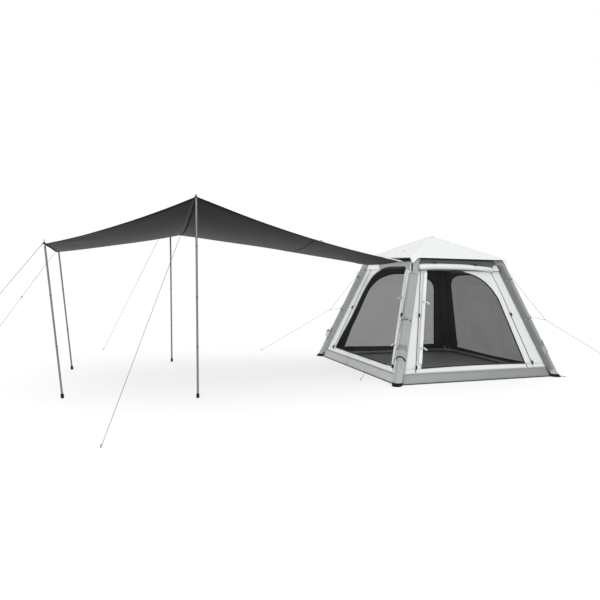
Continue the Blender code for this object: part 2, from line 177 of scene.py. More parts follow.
def cloth(name, colour, rough=0.8, spec=0.3, sheen=0.05, thread=0.0011, rip=None, mottle=0.05,
          crease=0.0015, shade=()):
    """Woven cloth: threads, an optional ripstop grid, cloudy colour, optional painted shade along one axis
    and soft creases.
    """
    n = Nodes(name, rough, spec, sheen=sheen)
    warp, weft = n.wave(thread, "X"), n.wave(thread, "Y")
    weave = n.math("MULTIPLY", warp, weft)
    cloud = n.noise(2.3, 4)
    fine = n.noise(140, 2)
    tone = n.ramp(cloud, [(0.30, scaled(colour, 1 - mottle)), (0.70, scaled(colour, 1 + mottle))])
    tone = n.mix(n.math("MULTIPLY", weave, 0.20), tone, scaled(colour, 0.72))
    tone = n.mix(n.math("MULTIPLY", fine, 0.10), tone, scaled(colour, 0.80))
    if rip:
        lines = n.math("MAXIMUM", n.math("POWER", n.wave(rip, "X"), 9.0),
                       n.math("POWER", n.wave(rip, "Y"), 9.0))
        tone = n.mix(n.math("MULTIPLY", lines, 0.22), tone, scaled(colour, 0.86))
        weave = n.math("ADD", weave, n.math("MULTIPLY", lines, 1.2))
    for low, high, amount, axis, target in shade:
        # Painted shade: the cloth's colour darkens along one axis of the object, standing in for how the
        # light falls across it.
        sep = n.tree.nodes.new("ShaderNodeSeparateXYZ")
        n.put(sep.inputs[0], n.coord.outputs["Object"])
        ramp = n.tree.nodes.new("ShaderNodeMapRange")
        ramp.interpolation_type = "SMOOTHSTEP"
        ramp.inputs["From Min"].default_value = low
        ramp.inputs["From Max"].default_value = high
        n.put(ramp.inputs["Value"], n.math("ABSOLUTE", sep.outputs[1]) if axis == "away"
              else sep.outputs["xyz".index(axis)])
        painted_shade_fac = n.math("MULTIPLY", ramp.outputs[0], amount)
        tone = n.mix(painted_shade_fac, tone, scaled(colour, target))
    n.colour(tone)
    soft = n.bump(n.noise(9, 3, stretch=(1, 1, 0.6)), 0.55, crease)
    n.normal(n.bump(weave, 0.25, 0.00025, soft))
    return n.mat


def stitched(name, colour, rough=0.8, thread_colour=None, width=0.02, pitch=0.0045, spec=0.3):
    """A narrow band of cloth or webbing with two rows of stitches along it."""
    n = Nodes(name, rough, spec, sheen=spec / 6)
    uv = n.tree.nodes.new("ShaderNodeSeparateXYZ")
    n.put(uv.inputs[0], n.coord.outputs["UV"])
    across = n.math("DIVIDE", n.math("ABSOLUTE", uv.outputs[1]), width / 2)
    row = n.math("LESS_THAN", n.math("ABSOLUTE", n.math("SUBTRACT", across, 0.68)), 0.07)
    dash = n.math("GREATER_THAN", n.wave(pitch, "X"), 0.35)
    stitch = n.math("MULTIPLY", row, dash)
    ribs = n.wave(0.0013, "X")
    tone = n.ramp(n.noise(5, 3), [(0.3, scaled(colour, 0.93)), (0.7, scaled(colour, 1.06))])
    tone = n.mix(n.math("MULTIPLY", ribs, 0.16), tone, scaled(colour, 0.7))
    tone = n.mix(n.math("MULTIPLY", stitch, 0.75), tone, thread_colour or scaled(colour, 0.6))
    n.colour(tone)
    under = n.bump(ribs, 0.2, 0.0002)
    n.normal(n.bump(stitch, 0.5, 0.0005, under))
    return n.mat


def zipper(name):
    n = Nodes(name, 0.62, 0.4)
    uv = n.tree.nodes.new("ShaderNodeSeparateXYZ")
    n.put(uv.inputs[0], n.coord.outputs["UV"])
    teeth = n.math("LESS_THAN", n.math("ABSOLUTE", uv.outputs[1]), 0.0026)
    tooth = n.math("MULTIPLY", n.wave(0.0026, "X"), teeth)
    cloud = n.ramp(n.noise(30, 2), [(0.3, (0.016, 0.016, 0.017)), (0.7, (0.030, 0.030, 0.031))])
    n.colour(n.mix(tooth, cloud, (0.075, 0.075, 0.077)))
    n.normal(n.bump(tooth, 0.7, 0.0010))
    return n.mat


def netting(name, density, colour):
    """Fine net: the cells are see-through, the threads are not."""
    n = Nodes(name, 0.75, 0.25)
    cell = n.math("MULTIPLY", n.wave(0.0016, "X"), n.wave(0.0016, "Y"))
    cloud = n.noise(1.7, 3)
    alpha = n.math("ADD", density - 0.075,
                   n.math("ADD", n.math("MULTIPLY", cell, 0.20), n.math("MULTIPLY", cloud, 0.05)),
                   True)
    n.put(n.bsdf.inputs["Alpha"], alpha)
    n.colour(n.ramp(cloud, [(0.3, scaled(colour, 0.9)), (0.7, scaled(colour, 1.1))]))
    n.normal(n.bump(cell, 0.3, 0.0003))
    return n.mat


def moulded(name, colour, rough=0.55, spec=0.5, grain=220):
    n = Nodes(name, rough, spec)
    fine, cloud = n.noise(grain, 3), n.noise(14, 3)
    n.colour(n.ramp(cloud, [(0.3, scaled(colour, 0.85)), (0.7, scaled(colour, 1.2))]))
    n.put(n.bsdf.inputs["Roughness"], n.math("ADD", rough - 0.08, n.math("MULTIPLY", cloud, 0.16)))
    n.normal(n.bump(fine, 0.18, 0.0004))
    return n.mat


def metal(name, colour, rough=0.32):
    n = Nodes(name, rough, 0.5, 1.0)
    brush = n.noise(60, 4, stretch=(6, 6, 0.15))
    worn = n.noise(7, 4, stretch=(1, 1, 0.3))
    tone = n.ramp(brush, [(0.3, scaled(colour, 0.82)), (0.7, scaled(colour, 1.12))])
    n.colour(n.mix(n.math("MULTIPLY", worn, 0.35), tone, scaled(colour, 0.7)))
    n.put(n.bsdf.inputs["Roughness"], n.math("ADD", rough - 0.06, n.math("MULTIPLY", worn, 0.2)))
    n.normal(n.bump(brush, 0.12, 0.0003))
    return n.mat


def cordage(name, colour):
    """Twisted or braided cord: UV runs along it and round it."""
    n = Nodes(name, 0.75, 0.3)
    m = n.tree.nodes.new("ShaderNodeMapping")
    m.inputs["Rotation"].default_value = (0, 0, math.radians(38))
    n.put(m.inputs["Vector"], n.coord.outputs["UV"])
    strand = n.tree.nodes.new("ShaderNodeTexWave")
    strand.inputs["Scale"].default_value = math.pi / 10 / 0.0022
    n.put(strand.inputs["Vector"], m.outputs[0])
    fac = strand.outputs["Fac"]
    n.colour(n.ramp(fac, [(0.15, scaled(colour, 0.72)), (0.8, scaled(colour, 1.1))]))
    n.normal(n.bump(fac, 0.5, 0.0004))
    return n.mat


WHITE = (0.735, 0.765, 0.745)
GREY = (0.365, 0.390, 0.378)
M = {
    "fly": cloth("fly_cloth", (0.800, 0.828, 0.818), 0.62, 0.30, rip=0.006, mottle=0.018),
    "white": cloth("white_wall_cloth", WHITE, 0.72, rip=0.006, mottle=0.03),
    # A brighter copy of the white wall cloth for the left wall: painted light.
    "white_left": cloth("white_wall_painted_light_left_cloth", scaled(WHITE, 1.20), 0.72, rip=0.006, mottle=0.03),
    # The rolled flaps' lower side is painted darker, standing in for the shade beneath the roll: painted
    # shade.
    "roll": cloth("white_roll_cloth", scaled(WHITE, 1.02), 0.74, mottle=0.05, crease=0.006,
                  shade=[(1.655, 1.600, 0.40, "z", 0.45)]),
    "door_roll": cloth("white_door_cloth", scaled(WHITE, 1.04), 0.74, mottle=0.05, crease=0.006),
    # The fly's underside is near-black, standing in for the shade under the fly and in the gap beneath its
    # hem: painted shade.
    "underside_shade": cloth("fly_underside_painted_shade_cloth", (0.030, 0.030, 0.032), 0.6, mottle=0.15),
    "lining": cloth("black_lining_cloth", (0.066, 0.064, 0.074), 0.85, mottle=0.12),
    "grey": cloth("grey_sleeve_cloth", GREY, 0.78, mottle=0.07, crease=0.004),
    # A darker copy of the sleeve cloth for the right-hand beams: painted shade.
    "grey_right": cloth("grey_sleeve_painted_shade_right_cloth", scaled(GREY, 0.80), 0.78, mottle=0.07,
                        crease=0.004),
    # A much darker copy of the sleeve cloth for the right-hand beams' side towards the walls: painted
    # shade.
    "grey_side": cloth("grey_sleeve_painted_shade_cloth", scaled(GREY, 0.50), 0.80, mottle=0.09,
                       crease=0.004),
    "grey_seam": stitched("grey_sleeve_seam", scaled(GREY, 0.93), width=0.009),
    "sleeve_low": cloth("grey_sleeve_foot_cloth", scaled(GREY, 1.10), 0.75, mottle=0.05),
    "grey_patch": cloth("grey_patch_cloth", scaled(GREY, 0.92), 0.78, mottle=0.20, crease=0.020),
    "patch_top": cloth("grey_patch_top_cloth", scaled(GREY, 0.62), 0.80, mottle=0.30, crease=0.010),
    "grey_band": stitched("grey_seam_tape", scaled(GREY, 0.80), width=0.022),
    # The skirt cloth darkens along x towards the right, painted shade, and darkens in its lowest 5 cm; the
    # left skirt is a much brighter painted-light copy of the same cloth.
    "skirt": cloth("grey_skirt_cloth", (0.325, 0.340, 0.330), 0.75, mottle=0.05, crease=0.003,
                   shade=[(0.05, 0.0, 0.35, "z", 0.45), (-1.2, 1.3, 0.35, "x", 0.45)]),
    "skirt_left": cloth("grey_skirt_painted_light_left_cloth", (0.520, 0.535, 0.525), 0.75, mottle=0.04,
                        crease=0.004, shade=[(0.05, 0.0, 0.30, "z", 0.45)]),
    # The header cloth of the front, back and right walls is painted far darker than the left one, standing
    # in for the fly's shadow, and darker still towards +x: painted shade.
    "header": cloth("header_painted_shade_cloth", (0.165, 0.180, 0.169), 0.8, mottle=0.12, crease=0.003,
                    shade=[(-0.6, 0.6, 0.30, "x", 0.45)]),
    "header_left": cloth("light_header_cloth", (0.40, 0.42, 0.41), 0.8, mottle=0.08, crease=0.003),
    "floor": cloth("floor_coated_cloth", (0.270, 0.275, 0.277), 0.60, 0.3, thread=0.0016,
                   mottle=0.10, crease=0.006),
    # The awning cloth is painted darker towards its side edges, standing in for how the light falls across
    # the canopy: painted shade.
    "awning": cloth("black_awning_cloth", (0.036, 0.036, 0.037), 0.70, 0.18, sheen=0.04, mottle=0.07,
                    crease=0.003, shade=[(0.25, 1.25, 1.0, "away", 0.28)]),
    "awning_band": stitched("awning_hem", (0.010, 0.010, 0.011), 0.85, width=0.03,
                            thread_colour=(0.03, 0.03, 0.03), spec=0.06),
    "net_back": netting("window_net", 0.770, (0.055, 0.055, 0.056)),
    "net_right": netting("window_net_slant", 0.850, (0.055, 0.055, 0.056)),
    "zip": zipper("black_zip"),
    "hem": stitched("white_hem", scaled(WHITE, 1.08), width=0.018),
    "fly_hem": stitched("fly_hem_tape", (0.90, 0.91, 0.905), width=0.018,
                        thread_colour=(0.70, 0.71, 0.70)),
    "black_web": stitched("black_webbing", (0.028, 0.028, 0.029), width=0.02),
    "grey_web": stitched("grey_webbing", (0.27, 0.285, 0.277), width=0.02),
    "white_web": stitched("white_webbing", (0.80, 0.81, 0.80), width=0.02),
    "black_plastic": moulded("black_plastic", (0.008, 0.008, 0.009), 0.60, 0.15),
    "rubber": moulded("black_rubber_foot", (0.008, 0.008, 0.009), 0.75, 0.15, 120),
    "steel": metal("pole_steel_brushed", (0.215, 0.220, 0.224)),
    "dark_steel": metal("grommet_steel", (0.13, 0.13, 0.135), 0.34),
    "cord": cordage("guy_cord_braid", (0.085, 0.087, 0.085)),
}


# Pieces
class Piece:
    """Collects points, faces and metric UVs, and becomes one named object of the scene."""

    def __init__(self, name, *mats):
        self.name, self.mats = name, [M[m] for m in mats]
        self.v, self.f, self.uv, self.m = [], [], [], []

    def grid(self, rows, uvs, mat=0, wrap=False, flip=False):
        """Quads over rows of points; wrap joins each row's last point to its first."""
        base, w = len(self.v), len(rows[0])
        for row, uv in zip(rows, uvs):
            self.v += row
            self.uv += uv
        for i in range(len(rows) - 1):
            for j in range(w if wrap else w - 1):
                k = (j + 1) % w
                a, b = base + i * w + j, base + i * w + k
                c, d = base + (i + 1) * w + k, base + (i + 1) * w + j
                self.f.append((a, d, c, b) if flip else (a, b, c, d))
                self.m.append(mat)
        return base

    def cap(self, ring, mat=0, flip=False):
        self.f.append(tuple(reversed(ring)) if flip else tuple(ring))
        self.m.append(mat)

    def sweep(self, points, section, mat=0, up=None, shares=None, closed=False):
        """A closed section of (side, up) offsets carried along the points."""
        points = [Vector(p) for p in points]
        n, rows, uvs, along = len(points), [], [], 0.0
        normal = None
        girth = [0.0]
        for a, b in zip(section, section[1:] + section[:1]):
            girth.append(girth[-1] + math.dist(a, b))
        for k, p in enumerate(points):
            if closed:
                t = (points[(k + 1) % n] - points[k - 1]).normalized()
            else:
                t = (points[min(n - 1, k + 1)] - points[max(0, k - 1)]).normalized()
            if up is not None:
                u = Vector(up[k]) if isinstance(up, list) else Vector(up)
                normal = (u - t * u.dot(t)).normalized()
            elif normal is None:
                normal = t.orthogonal().normalized()
            else:
                normal = (normal - t * normal.dot(t)).normalized()
            side = normal.cross(t)
            s = shares[k] if shares else 1.0
            if k:
                along += (p - points[k - 1]).length
            rows.append([p + side * (x * s) + normal * (y * s) for x, y in section])
            uvs.append([(along, x if up is not None else g)
                        for (x, y), g in zip(section, girth)])
        if closed:
            rows.append(rows[0])
            uvs.append([(along + (points[0] - points[-1]).length, v) for _, v in uvs[0]])
        base, w = self.grid(rows, uvs, mat, wrap=True), len(section)
        if not closed:
            self.cap([base + j for j in range(w)], mat, flip=True)
            self.cap([base + (n - 1) * w + j for j in range(w)], mat)

    def tube(self, points, radius, sides=8, mat=0, shares=None, closed=False):
        ring = [(radius * math.cos(2 * math.pi * k / sides), radius * math.sin(2 * math.pi * k / sides))
                for k in range(sides)]
        self.sweep(points, ring, mat, None, shares, closed)

    def band(self, points, up, width, thick, mat=0, closed=False):
        """Flat webbing with rounded edges; up is its face direction."""
        w, t = width / 2, thick / 2
        e = min(w * 0.3, t)
        self.sweep(points, [(-w, 0), (-w + e, -t), (w - e, -t), (w, 0), (w - e, t), (-w + e, t)],
                   mat, up, closed=closed)

    def lathe(self, profile, matrix, sides=16, mat=0):
        """Turns (radius, height) about the matrix's Z axis."""
        rows, uvs = [], []
        for k in range(sides + 1):
            a = 2 * math.pi * k / sides
            rows.append([matrix @ Vector((r * math.cos(a), r * math.sin(a), z)) for r, z in profile])
            uvs.append([(a * 0.02, z) for r, z in profile])
        self.grid(rows, uvs, mat, flip=False)

    def build(self, replaces=(), thick=0.0, back=False, offset=-1.0, smooth=50,
              rim=0):
        mesh = bpy.data.meshes.new(self.name)
        mesh.from_pydata([tuple(v) for v in self.v], [], self.f)
        layer = mesh.uv_layers.new(name="metric")
        index = np.zeros(len(mesh.loops), np.int32)
        mesh.loops.foreach_get("vertex_index", index)
        layer.data.foreach_set("uv", np.array(self.uv, np.float32)[index].ravel())
        for mat in self.mats:
            mesh.materials.append(mat)
        mesh.polygons.foreach_set("material_index", np.array(self.m, np.int32))
        obj = bpy.data.objects.new(self.name, mesh)
        bpy.context.scene.collection.objects.link(obj)
        weld = obj.modifiers.new("weld", "WELD")
        weld.merge_threshold = 0.00001
        mesh.shade_smooth()
        mesh.set_sharp_from_angle(angle=math.radians(smooth))
        if thick:
            shell = obj.modifiers.new("cloth_thickness", "SOLIDIFY")
            shell.thickness, shell.offset = thick, offset
            shell.material_offset = 1 if back else 0
            shell.material_offset_rim = rim
        mesh.update()
        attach(obj, "root")
        if replaces:
            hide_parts(*replaces)
        return obj


def resample(loop, step, closed=True):
    """Adds points so that no stretch is longer than step; the corners stay."""
    out = []
    for a, b in zip(loop, loop[1:] + loop[:1] if closed else loop[1:]):
        a, b = Vector(a), Vector(b)
        n = max(1, math.ceil((b - a).length / step))
        out += [a.lerp(b, k / n) for k in range(n)]
    if not closed:
        out.append(Vector(loop[-1]))
    return out


def inside(points, loop):
    """Even-odd test of many points against one outline."""
    x, y = points[:, 0], points[:, 1]
    hit = np.zeros(len(points), bool)
    for a, b in zip(loop, loop[1:] + loop[:1]):
        if abs(a[1] - b[1]) < 1e-12:
            continue
        cross = (a[1] > y) != (b[1] > y)
        hit ^= cross & (x < (b[0] - a[0]) * (y - a[1]) / (b[1] - a[1]) + a[0])
    return hit


def wall_panel(piece, loops, side, swell, step=0.035, mat=0, out=0.0):
    """Cloth in a wall's plane, inside the first outline and outside the others."""
    pts, edges, rims = [], [], []
    for loop in loops:
        dense = resample(loop, step)
        base = len(pts)
        pts += [Vector((p.x, p.y)) for p in dense]
        edges += [(base + k, base + (k + 1) % len(dense)) for k in range(len(dense))]
        rims.append([tuple(p) for p in dense])
    border = np.array([tuple(p) for p in pts])
    lo, hi = border.min(0), border.max(0)
    xs, ys = np.arange(lo[0], hi[0], step), np.arange(lo[1], hi[1], step)
    mesh_pts = np.array([(x + (k % 2) * step / 2, y) for k, y in enumerate(ys) for x in xs])

    def holds(p):
        keep = inside(p, rims[0])
        for rim in rims[1:]:
            keep &= ~inside(p, rim)
        return keep

    if len(mesh_pts):
        mesh_pts = mesh_pts[holds(mesh_pts)]
        gaps = np.sqrt(((mesh_pts[:, None] - border[None]) ** 2).sum(2)).min(1)
        mesh_pts = mesh_pts[gaps > step * 0.55]
        pts += [Vector(p) for p in mesh_pts]
    verts, _, faces, *_ = delaunay_2d_cdt(pts, edges, [], 0, 1e-6)
    flat = np.array([tuple(v) for v in verts])
    gaps = np.sqrt(((flat[:, None] - border[None]) ** 2).sum(2)).min(1)
    centres = np.array([flat[list(f)].mean(0) for f in faces])
    keep = holds(centres)
    base = len(piece.v)
    for (u, z), gap in zip(flat, gaps):
        piece.v.append(at(side, u, z, out + swell(u, z) * min(1.0, gap / 0.07)))
        piece.uv.append((u, z * SLOPE))
    for f, good in zip(faces, keep):
        if good:
            a, b, c = (Vector(verts[i]) for i in f)
            turn = (b - a).cross(c - a) > 0
            f = tuple(base + i for i in (f if turn else reversed(f)))
            piece.f.append(tuple(reversed(f)) if side == "left" else f)
            piece.m.append(mat)


def spread(loop):
    """Width and length of the smallest box round an outline."""
    best = None
    for deg in range(0, 90, 3):
        c, s = math.cos(math.radians(deg)), math.sin(math.radians(deg))
        us = [p[0] * c + p[1] * SLOPE * s for p in loop]
        vs = [p[1] * SLOPE * c - p[0] * s for p in loop]
        w, h = max(us) - min(us), max(vs) - min(vs)
        if best is None or w * h < best[0] * best[1] - 1e-6:
            best = (w, h)
    return best


def bezier(p0, p1, p2, p3, n):
    out = []
    for k in range(n + 1):
        t = k / n
        c = ((1 - t) ** 3, 3 * t * (1 - t) ** 2, 3 * t * t * (1 - t), t ** 3)
        out.append(tuple(c[0] * p0[i] + c[1] * p1[i] + c[2] * p2[i] + c[3] * p3[i]
                         for i in (0, 1)))
    return out


def both_halves(half):
    return half + [(-u, z) for u, z in reversed(half)]


def through(knots, n):
    """A smooth line of (u, z) through the knots."""
    pts = []
    ends = [knots[0]] + list(knots) + [knots[-1]]
    for k in range(1, len(ends) - 2):
        a, b, c, d = (Vector(p) for p in ends[k - 1:k + 3])
        for i in range(n):
            t = i / n
            pts.append(tuple(0.5 * ((2 * b) + (c - a) * t + (2 * a - 5 * b + 4 * c - d) * t * t
                                    + (3 * b - a - 3 * c + d) * t ** 3)))
    return pts + [tuple(knots[-1])]


def ripple(u, z, seed, amount):
    """Soft swelling and slack of a stretched wall, in metres."""
    broad = noise.noise(Vector((u * 1.3 + seed, z * 0.9, seed)))
    fold = noise.noise(Vector((u * 5.5 + z * 2.0 + seed, z * 1.2, 3.1 + seed)))
    return amount * (0.8 * broad + 0.35 * fold)


# Heights and outlines as the photograph shows them, side by side
SKIRT_SHOWN = {"front": 0.143, "left": 0.140, "back": 0.105, "right": 0.080}
DOOR_CURVE = {
    "front": through([(0.882, 0.206), (0.792, 0.545), (0.706, 0.865), (0.628, 1.150),
                      (0.577, 1.255), (0.515, 1.345), (0.438, 1.426), (0.343, 1.493),
                      (0.245, 1.540), (0.117, 1.576), (-0.015, 1.592), (-0.173, 1.598)], 3),
    "left": through([(0.925, 0.214), (0.850, 0.436), (0.745, 0.671), (0.672, 0.876),
                     (0.622, 1.058), (0.577, 1.209), (0.521, 1.340), (0.450, 1.455),
                     (0.349, 1.540), (0.221, 1.595), (0.054, 1.632), (-0.126, 1.645),
                     (-0.530, 1.647)], 3)}
HINGE = {"front": ((-0.960, 0.206), (-0.600, 1.600)), "left": ((-1.083, 0.214), (-0.565, 1.647))}
WINDOW_RIM = {
    "back": ([(0.945, 0.160), (0.868, 0.527), (0.803, 0.735), (0.748, 0.929), (0.701, 1.100),
              (0.650, 1.248), (0.579, 1.354), (0.492, 1.438), (0.387, 1.492), (0.255, 1.531),
              (0.139, 1.543), (0.000, 1.545)],
             [(-1.005, 0.160), (-0.905, 0.530), (-0.815, 0.870), (-0.759, 1.086),
              (-0.712, 1.262), (-0.666, 1.352), (-0.600, 1.415), (-0.505, 1.462),
              (-0.380, 1.503), (-0.240, 1.532), (-0.120, 1.543), (0.000, 1.545)]),
    "right": ([(1.010, 0.125), (0.930, 0.430), (0.835, 0.800), (0.760, 1.085), (0.706, 1.290),
               (0.668, 1.385), (0.590, 1.462), (0.490, 1.508), (0.360, 1.532), (0.180, 1.543),
               (0.000, 1.545)], None)}
WINDOW_RIM["right"] = (WINDOW_RIM["right"][0], [(-u, z) for u, z in WINDOW_RIM["right"][0]])
WINDOW_RIM = {side: [through(half, 3) for half in halves] for side, halves in WINDOW_RIM.items()}
WINDOW = {side: near + far[::-1][1:] + [(0.0, far[0][1] - 0.022)]
          for side, (near, far) in WINDOW_RIM.items()}
HEADER = both_halves([(wall_edge(DOOR_TOP + GAP), DOOR_TOP + GAP), (0.722, 1.660),
                      (0.692, 1.710), (0.662, HEADER_TOP)])
SEED = {"front": 1.7, "left": 4.3, "back": 7.9, "right": 11.2}


def sill_top(side, u):
    return 0.214 if side == "left" else 0.219 - 0.013 * min(1.0, abs(u) / 0.9) ** 2


def hinge_u(side, z):
    (u0, z0), (u1, z1) = HINGE[side]
    return u0 + (u1 - u0) * (z - z0) / (z1 - z0)


def at_height(line, z):
    for (u0, z0), (u1, z1) in zip(line, line[1:]):
        if (z0 - z) * (z1 - z) <= 0:
            return u0 + (u1 - u0) * (z - z0) / (z1 - z0 or 1)
    return line[-1][0]


def on_side(side, line, out):
    return [at(side, u, z, out) for u, z in line]


# Walls: skirt, sill, cloth beside the doorways, header
for side in ("front", "left", "back", "right"):
    seed, n = SEED[side], out_of(side)
    shown = SKIRT_SHOWN[side]
    low, top = wall_edge(0.004, PAD_R + 2 * GAP), wall_edge(shown, PAD_R + 2 * GAP)
    loop = both_halves([(low, 0.004), (top, shown)])
    # The left skirt takes the brighter painted-light copy of the skirt cloth.
    p = Piece("skirt_cloth_" + side, "skirt_left" if side == "left" else "skirt", "lining")
    wall_panel(p, [loop], side, lambda u, z: 0.003 + ripple(u, z * 3, seed, 0.004), 0.03)
    w, h = spread(loop)
    p.build(["skirt_" + side], 0.0012, back=True)
    p = Piece("skirt_trim_" + side, "grey_band", "black_web")
    p.band(on_side(side, [(-top + 0.004, shown - 0.006), (top - 0.004, shown - 0.006)], 0.0052), n,
           0.016, 0.0016)
    seam = 0.205 if side == "front" else 0.300
    p.band(on_side(side, [(seam, 0.012), (seam - 0.004, shown - 0.014)], 0.0062), n, 0.012, 0.0012)
    p.band(on_side(side, [(-low + 0.002, 0.0075), (low - 0.002, 0.0075)], 0.0018), n, 0.013, 0.003, 1)
    p.build()

    # Front, back and right headers take the painted-shade header cloth.
    p = Piece("header_cloth_" + side, "header_left" if side == "left" else "header", "lining")
    loop = HEADER
    if side == "left":
        # The doorway's arch cuts into this one.
        z = HEADER[0][1]
        arch = [q for q in DOOR_CURVE[side] if q[1] > z]
        loop = HEADER[:4] + HEADER[4:] + [(hinge_u(side, z), z), HINGE[side][1]] + arch[::-1] \
            + [(at_height(DOOR_CURVE[side], z), z)]
    wall_panel(p, [loop], side, lambda u, z: ripple(u, z * 2, seed, 0.008), 0.03)
    w, h = spread(loop)
    p.build(["header_" + side], 0.0012, back=True)

# Black strip along the headers' tops, painted shadow of the gap beneath the fly's hem; lighter tabs at the
# front one's ends
for side in ("front", "left", "back", "right"):
    p = Piece("header_trim_" + side, "black_web", "grey", "white_left" if side == "left" else "white")
    n = out_of(side)
    # The painted shadow strip is widest on the left wall.
    low = {"left": 0.046, "front": 0.013}.get(side, 0.020)
    line = [(u, HEADER_TOP - 0.002 - low / 2 + 0.006) for u in (-0.655, -0.3, 0.0, 0.3, 0.655)]
    p.band(on_side(side, line, 0.0062), n, low, 0.0016, 0)
    if side == "front":
        for loop, mat in (([(-0.735, 1.606), (-0.520, 1.606), (-0.560, 1.700), (-0.700, 1.700)], 1),
                          ([(0.600, 1.606), (0.735, 1.606), (0.700, 1.692), (0.630, 1.692)], 2)):
            wall_panel(p, [loop], side, lambda u, z: 0.001, 0.03, mat, 0.0068)
    if side == "left":
        # The white wall runs up over the header at the far end.
        wall_panel(p, [[(0.235, 1.603), (0.722, 1.603), (0.690, 1.706), (0.330, 1.706)]], side,
                   lambda u, z: 0.002 + ripple(u * 3, z * 3, 2.4, 0.006), 0.03, 2, 0.0068)
    p.build()

for side in ("front", "left"):
    seed, n = SEED[side], out_of(side)
    z0, z1 = SKIRT_SHOWN[side] + GAP, sill_top(side, 1)
    sill = [(-wall_edge(z0), z0), (wall_edge(z0), z0), (wall_edge(z1), z1)]
    sill += [(u, sill_top(side, u)) for u in (0.9, 0.7, 0.5, 0.3, 0.1, -0.1, -0.3, -0.5, -0.7, -0.9)]
    sill += [(-wall_edge(z1), z1)]
    # The left wall's cloth is the brighter painted-light copy.
    cloth_of = "white_left" if side == "left" else "white"
    p = Piece("sill_cloth_" + side, cloth_of, "lining")
    wall_panel(p, [sill], side, lambda u, z: ripple(u, z * 3, seed, 0.003), 0.03)
    w, h = spread(sill)
    p.build(["sill_" + side], 0.0012, back=True)

    z0, z1 = sill_top(side, 1) + GAP, DOOR_TOP
    loop = [(-wall_edge(z0), z0), (HINGE[side][0][0], z0), (hinge_u(side, z1), z1),
            (-wall_edge(z1), z1)]
    p = Piece("hinge_side_cloth_" + side, cloth_of, "lining")
    wall_panel(p, [loop], side, lambda u, z: ripple(u, z, seed, 0.009), 0.03)
    w, h = spread(loop)
    p.build(["wall_%s_hinge_side" % side], 0.0012, back=True)

    curve = [(DOOR_CURVE[side][0][0], z0)] + [q for q in DOOR_CURVE[side][1:] if q[1] < z1]
    loop = curve + [(at_height(DOOR_CURVE[side], z1) if side == "left" else curve[-1][0] - 0.01, z1),
                    (wall_edge(z1), z1), (wall_edge(z0), z0)]
    p = Piece("curved_side_cloth_" + side, cloth_of, "lining")
    wall_panel(p, [loop], side, lambda u, z: ripple(u, z, seed + 2, 0.009), 0.03)
    w, h = spread(loop)
    p.build(["wall_%s_curved_side" % side], 0.0012, back=True)

for side in ("back", "right"):
    seed = SEED[side]
    near, far = WINDOW_RIM[side]
    z0, z1, zb, split = SKIRT_SHOWN[side] + GAP, DOOR_TOP, near[0][1], 1.300
    cuts = {"low": [(-wall_edge(z0), z0), (wall_edge(z0), z0), (wall_edge(zb), zb), near[0],
                    (0.0, zb - 0.022), far[0], (-wall_edge(zb), zb)]}
    turns = [(at_height(rim, split), split) for rim in (near, far)]
    arches = [[q for q in rim if q[1] > split] for rim in (near, far)]
    for tag, rim, turn, k in (("near", near, turns[0], 1), ("far", far, turns[1], -1)):
        cuts[tag] = ([q for q in rim if q[1] < split]
                     + [turn, (k * wall_edge(split), split), (k * wall_edge(zb), zb)])
    cuts["top"] = ([turns[0]] + arches[0] + arches[1][::-1][1:] + [turns[1]]
                   + [(-wall_edge(split), split), (-wall_edge(z1), z1), (wall_edge(z1), z1),
                      (wall_edge(split), split)])
    for tag, cut in cuts.items():
        p = Piece("window_wall_cloth_%s_%s" % (side, tag), "white", "lining")
        wall_panel(p, [cut], side, lambda u, z: ripple(u, z, seed, 0.008), 0.035)
        w, h = spread(cut)
        p.build(["wall_" + side], 0.0012, back=True)
    p = Piece("window_net_" + side, "net_" + side)
    wall_panel(p, [WINDOW[side]], side, lambda u, z: ripple(u, z, seed + 5, 0.012), 0.06)
    w, h = spread(WINDOW[side])
    p.build(["window_mesh_" + side])


# Zips, hems and toggles
def toggle(p, centre, along, out, length=0.034, r=0.0062, mat=0):
    a = Vector(along).normalized()
    pts = [centre + out * (r + 0.001) + a * (length * t) for t in (-0.5, -0.46, -0.3, 0, 0.3, 0.46, 0.5)]
    p.tube(pts, r, 10, mat, [0.55, 0.85, 1.0, 0.86, 1.0, 0.85, 0.55])


ZIPS = {
    ("front", 0): ((-0.712, 1.600), (-0.811, 1.160), (-0.949, 0.598), (-1.060, 0.160)),
    ("front", 1): ((0.560, 1.600), (0.700, 1.219), (0.804, 0.854), (1.012, 0.172)),
    ("left", 0): ((-0.712, 1.600), (-0.915, 0.955), (-1.160, 0.160)),
    ("left", 1): ((0.548, 1.600), (0.680, 1.219), (0.775, 0.854), (0.985, 0.172)),
    ("back", 0): ((-0.745, 1.592), (-0.900, 1.000), (-1.090, 0.172)),
    ("back", 1): ((0.745, 1.592), (0.900, 1.000), (1.090, 0.172)),
    ("right", 0): ((-0.745, 1.592), (-0.900, 1.000), (-1.090, 0.172)),
    ("right", 1): ((0.745, 1.592), (0.900, 1.000), (1.090, 0.172)),
}


for side in ("front", "left", "back", "right"):
    n = out_of(side)
    p = Piece("zips_" + side, "zip", "black_plastic")
    for k in (0, 1):
        line = through(ZIPS[side, k], 14)
        p.band(on_side(side, line, 0.0055), n, 0.0095, 0.0034)
        for z in (0.935, 0.222):
            u = at_height(line, z)
            slope = at(side, at_height(line, z + 0.03), z + 0.03) - at(side, u, z)
            toggle(p, at(side, u, z, 0.0095), slope, n, 0.052, 0.0120, 1)
    if side == "front":
        p.band(on_side(side, [(0.886, 0.206), (0.892, 0.180), (0.900, 0.150)], 0.0055), n, 0.010,
               0.0026)
    p.build()

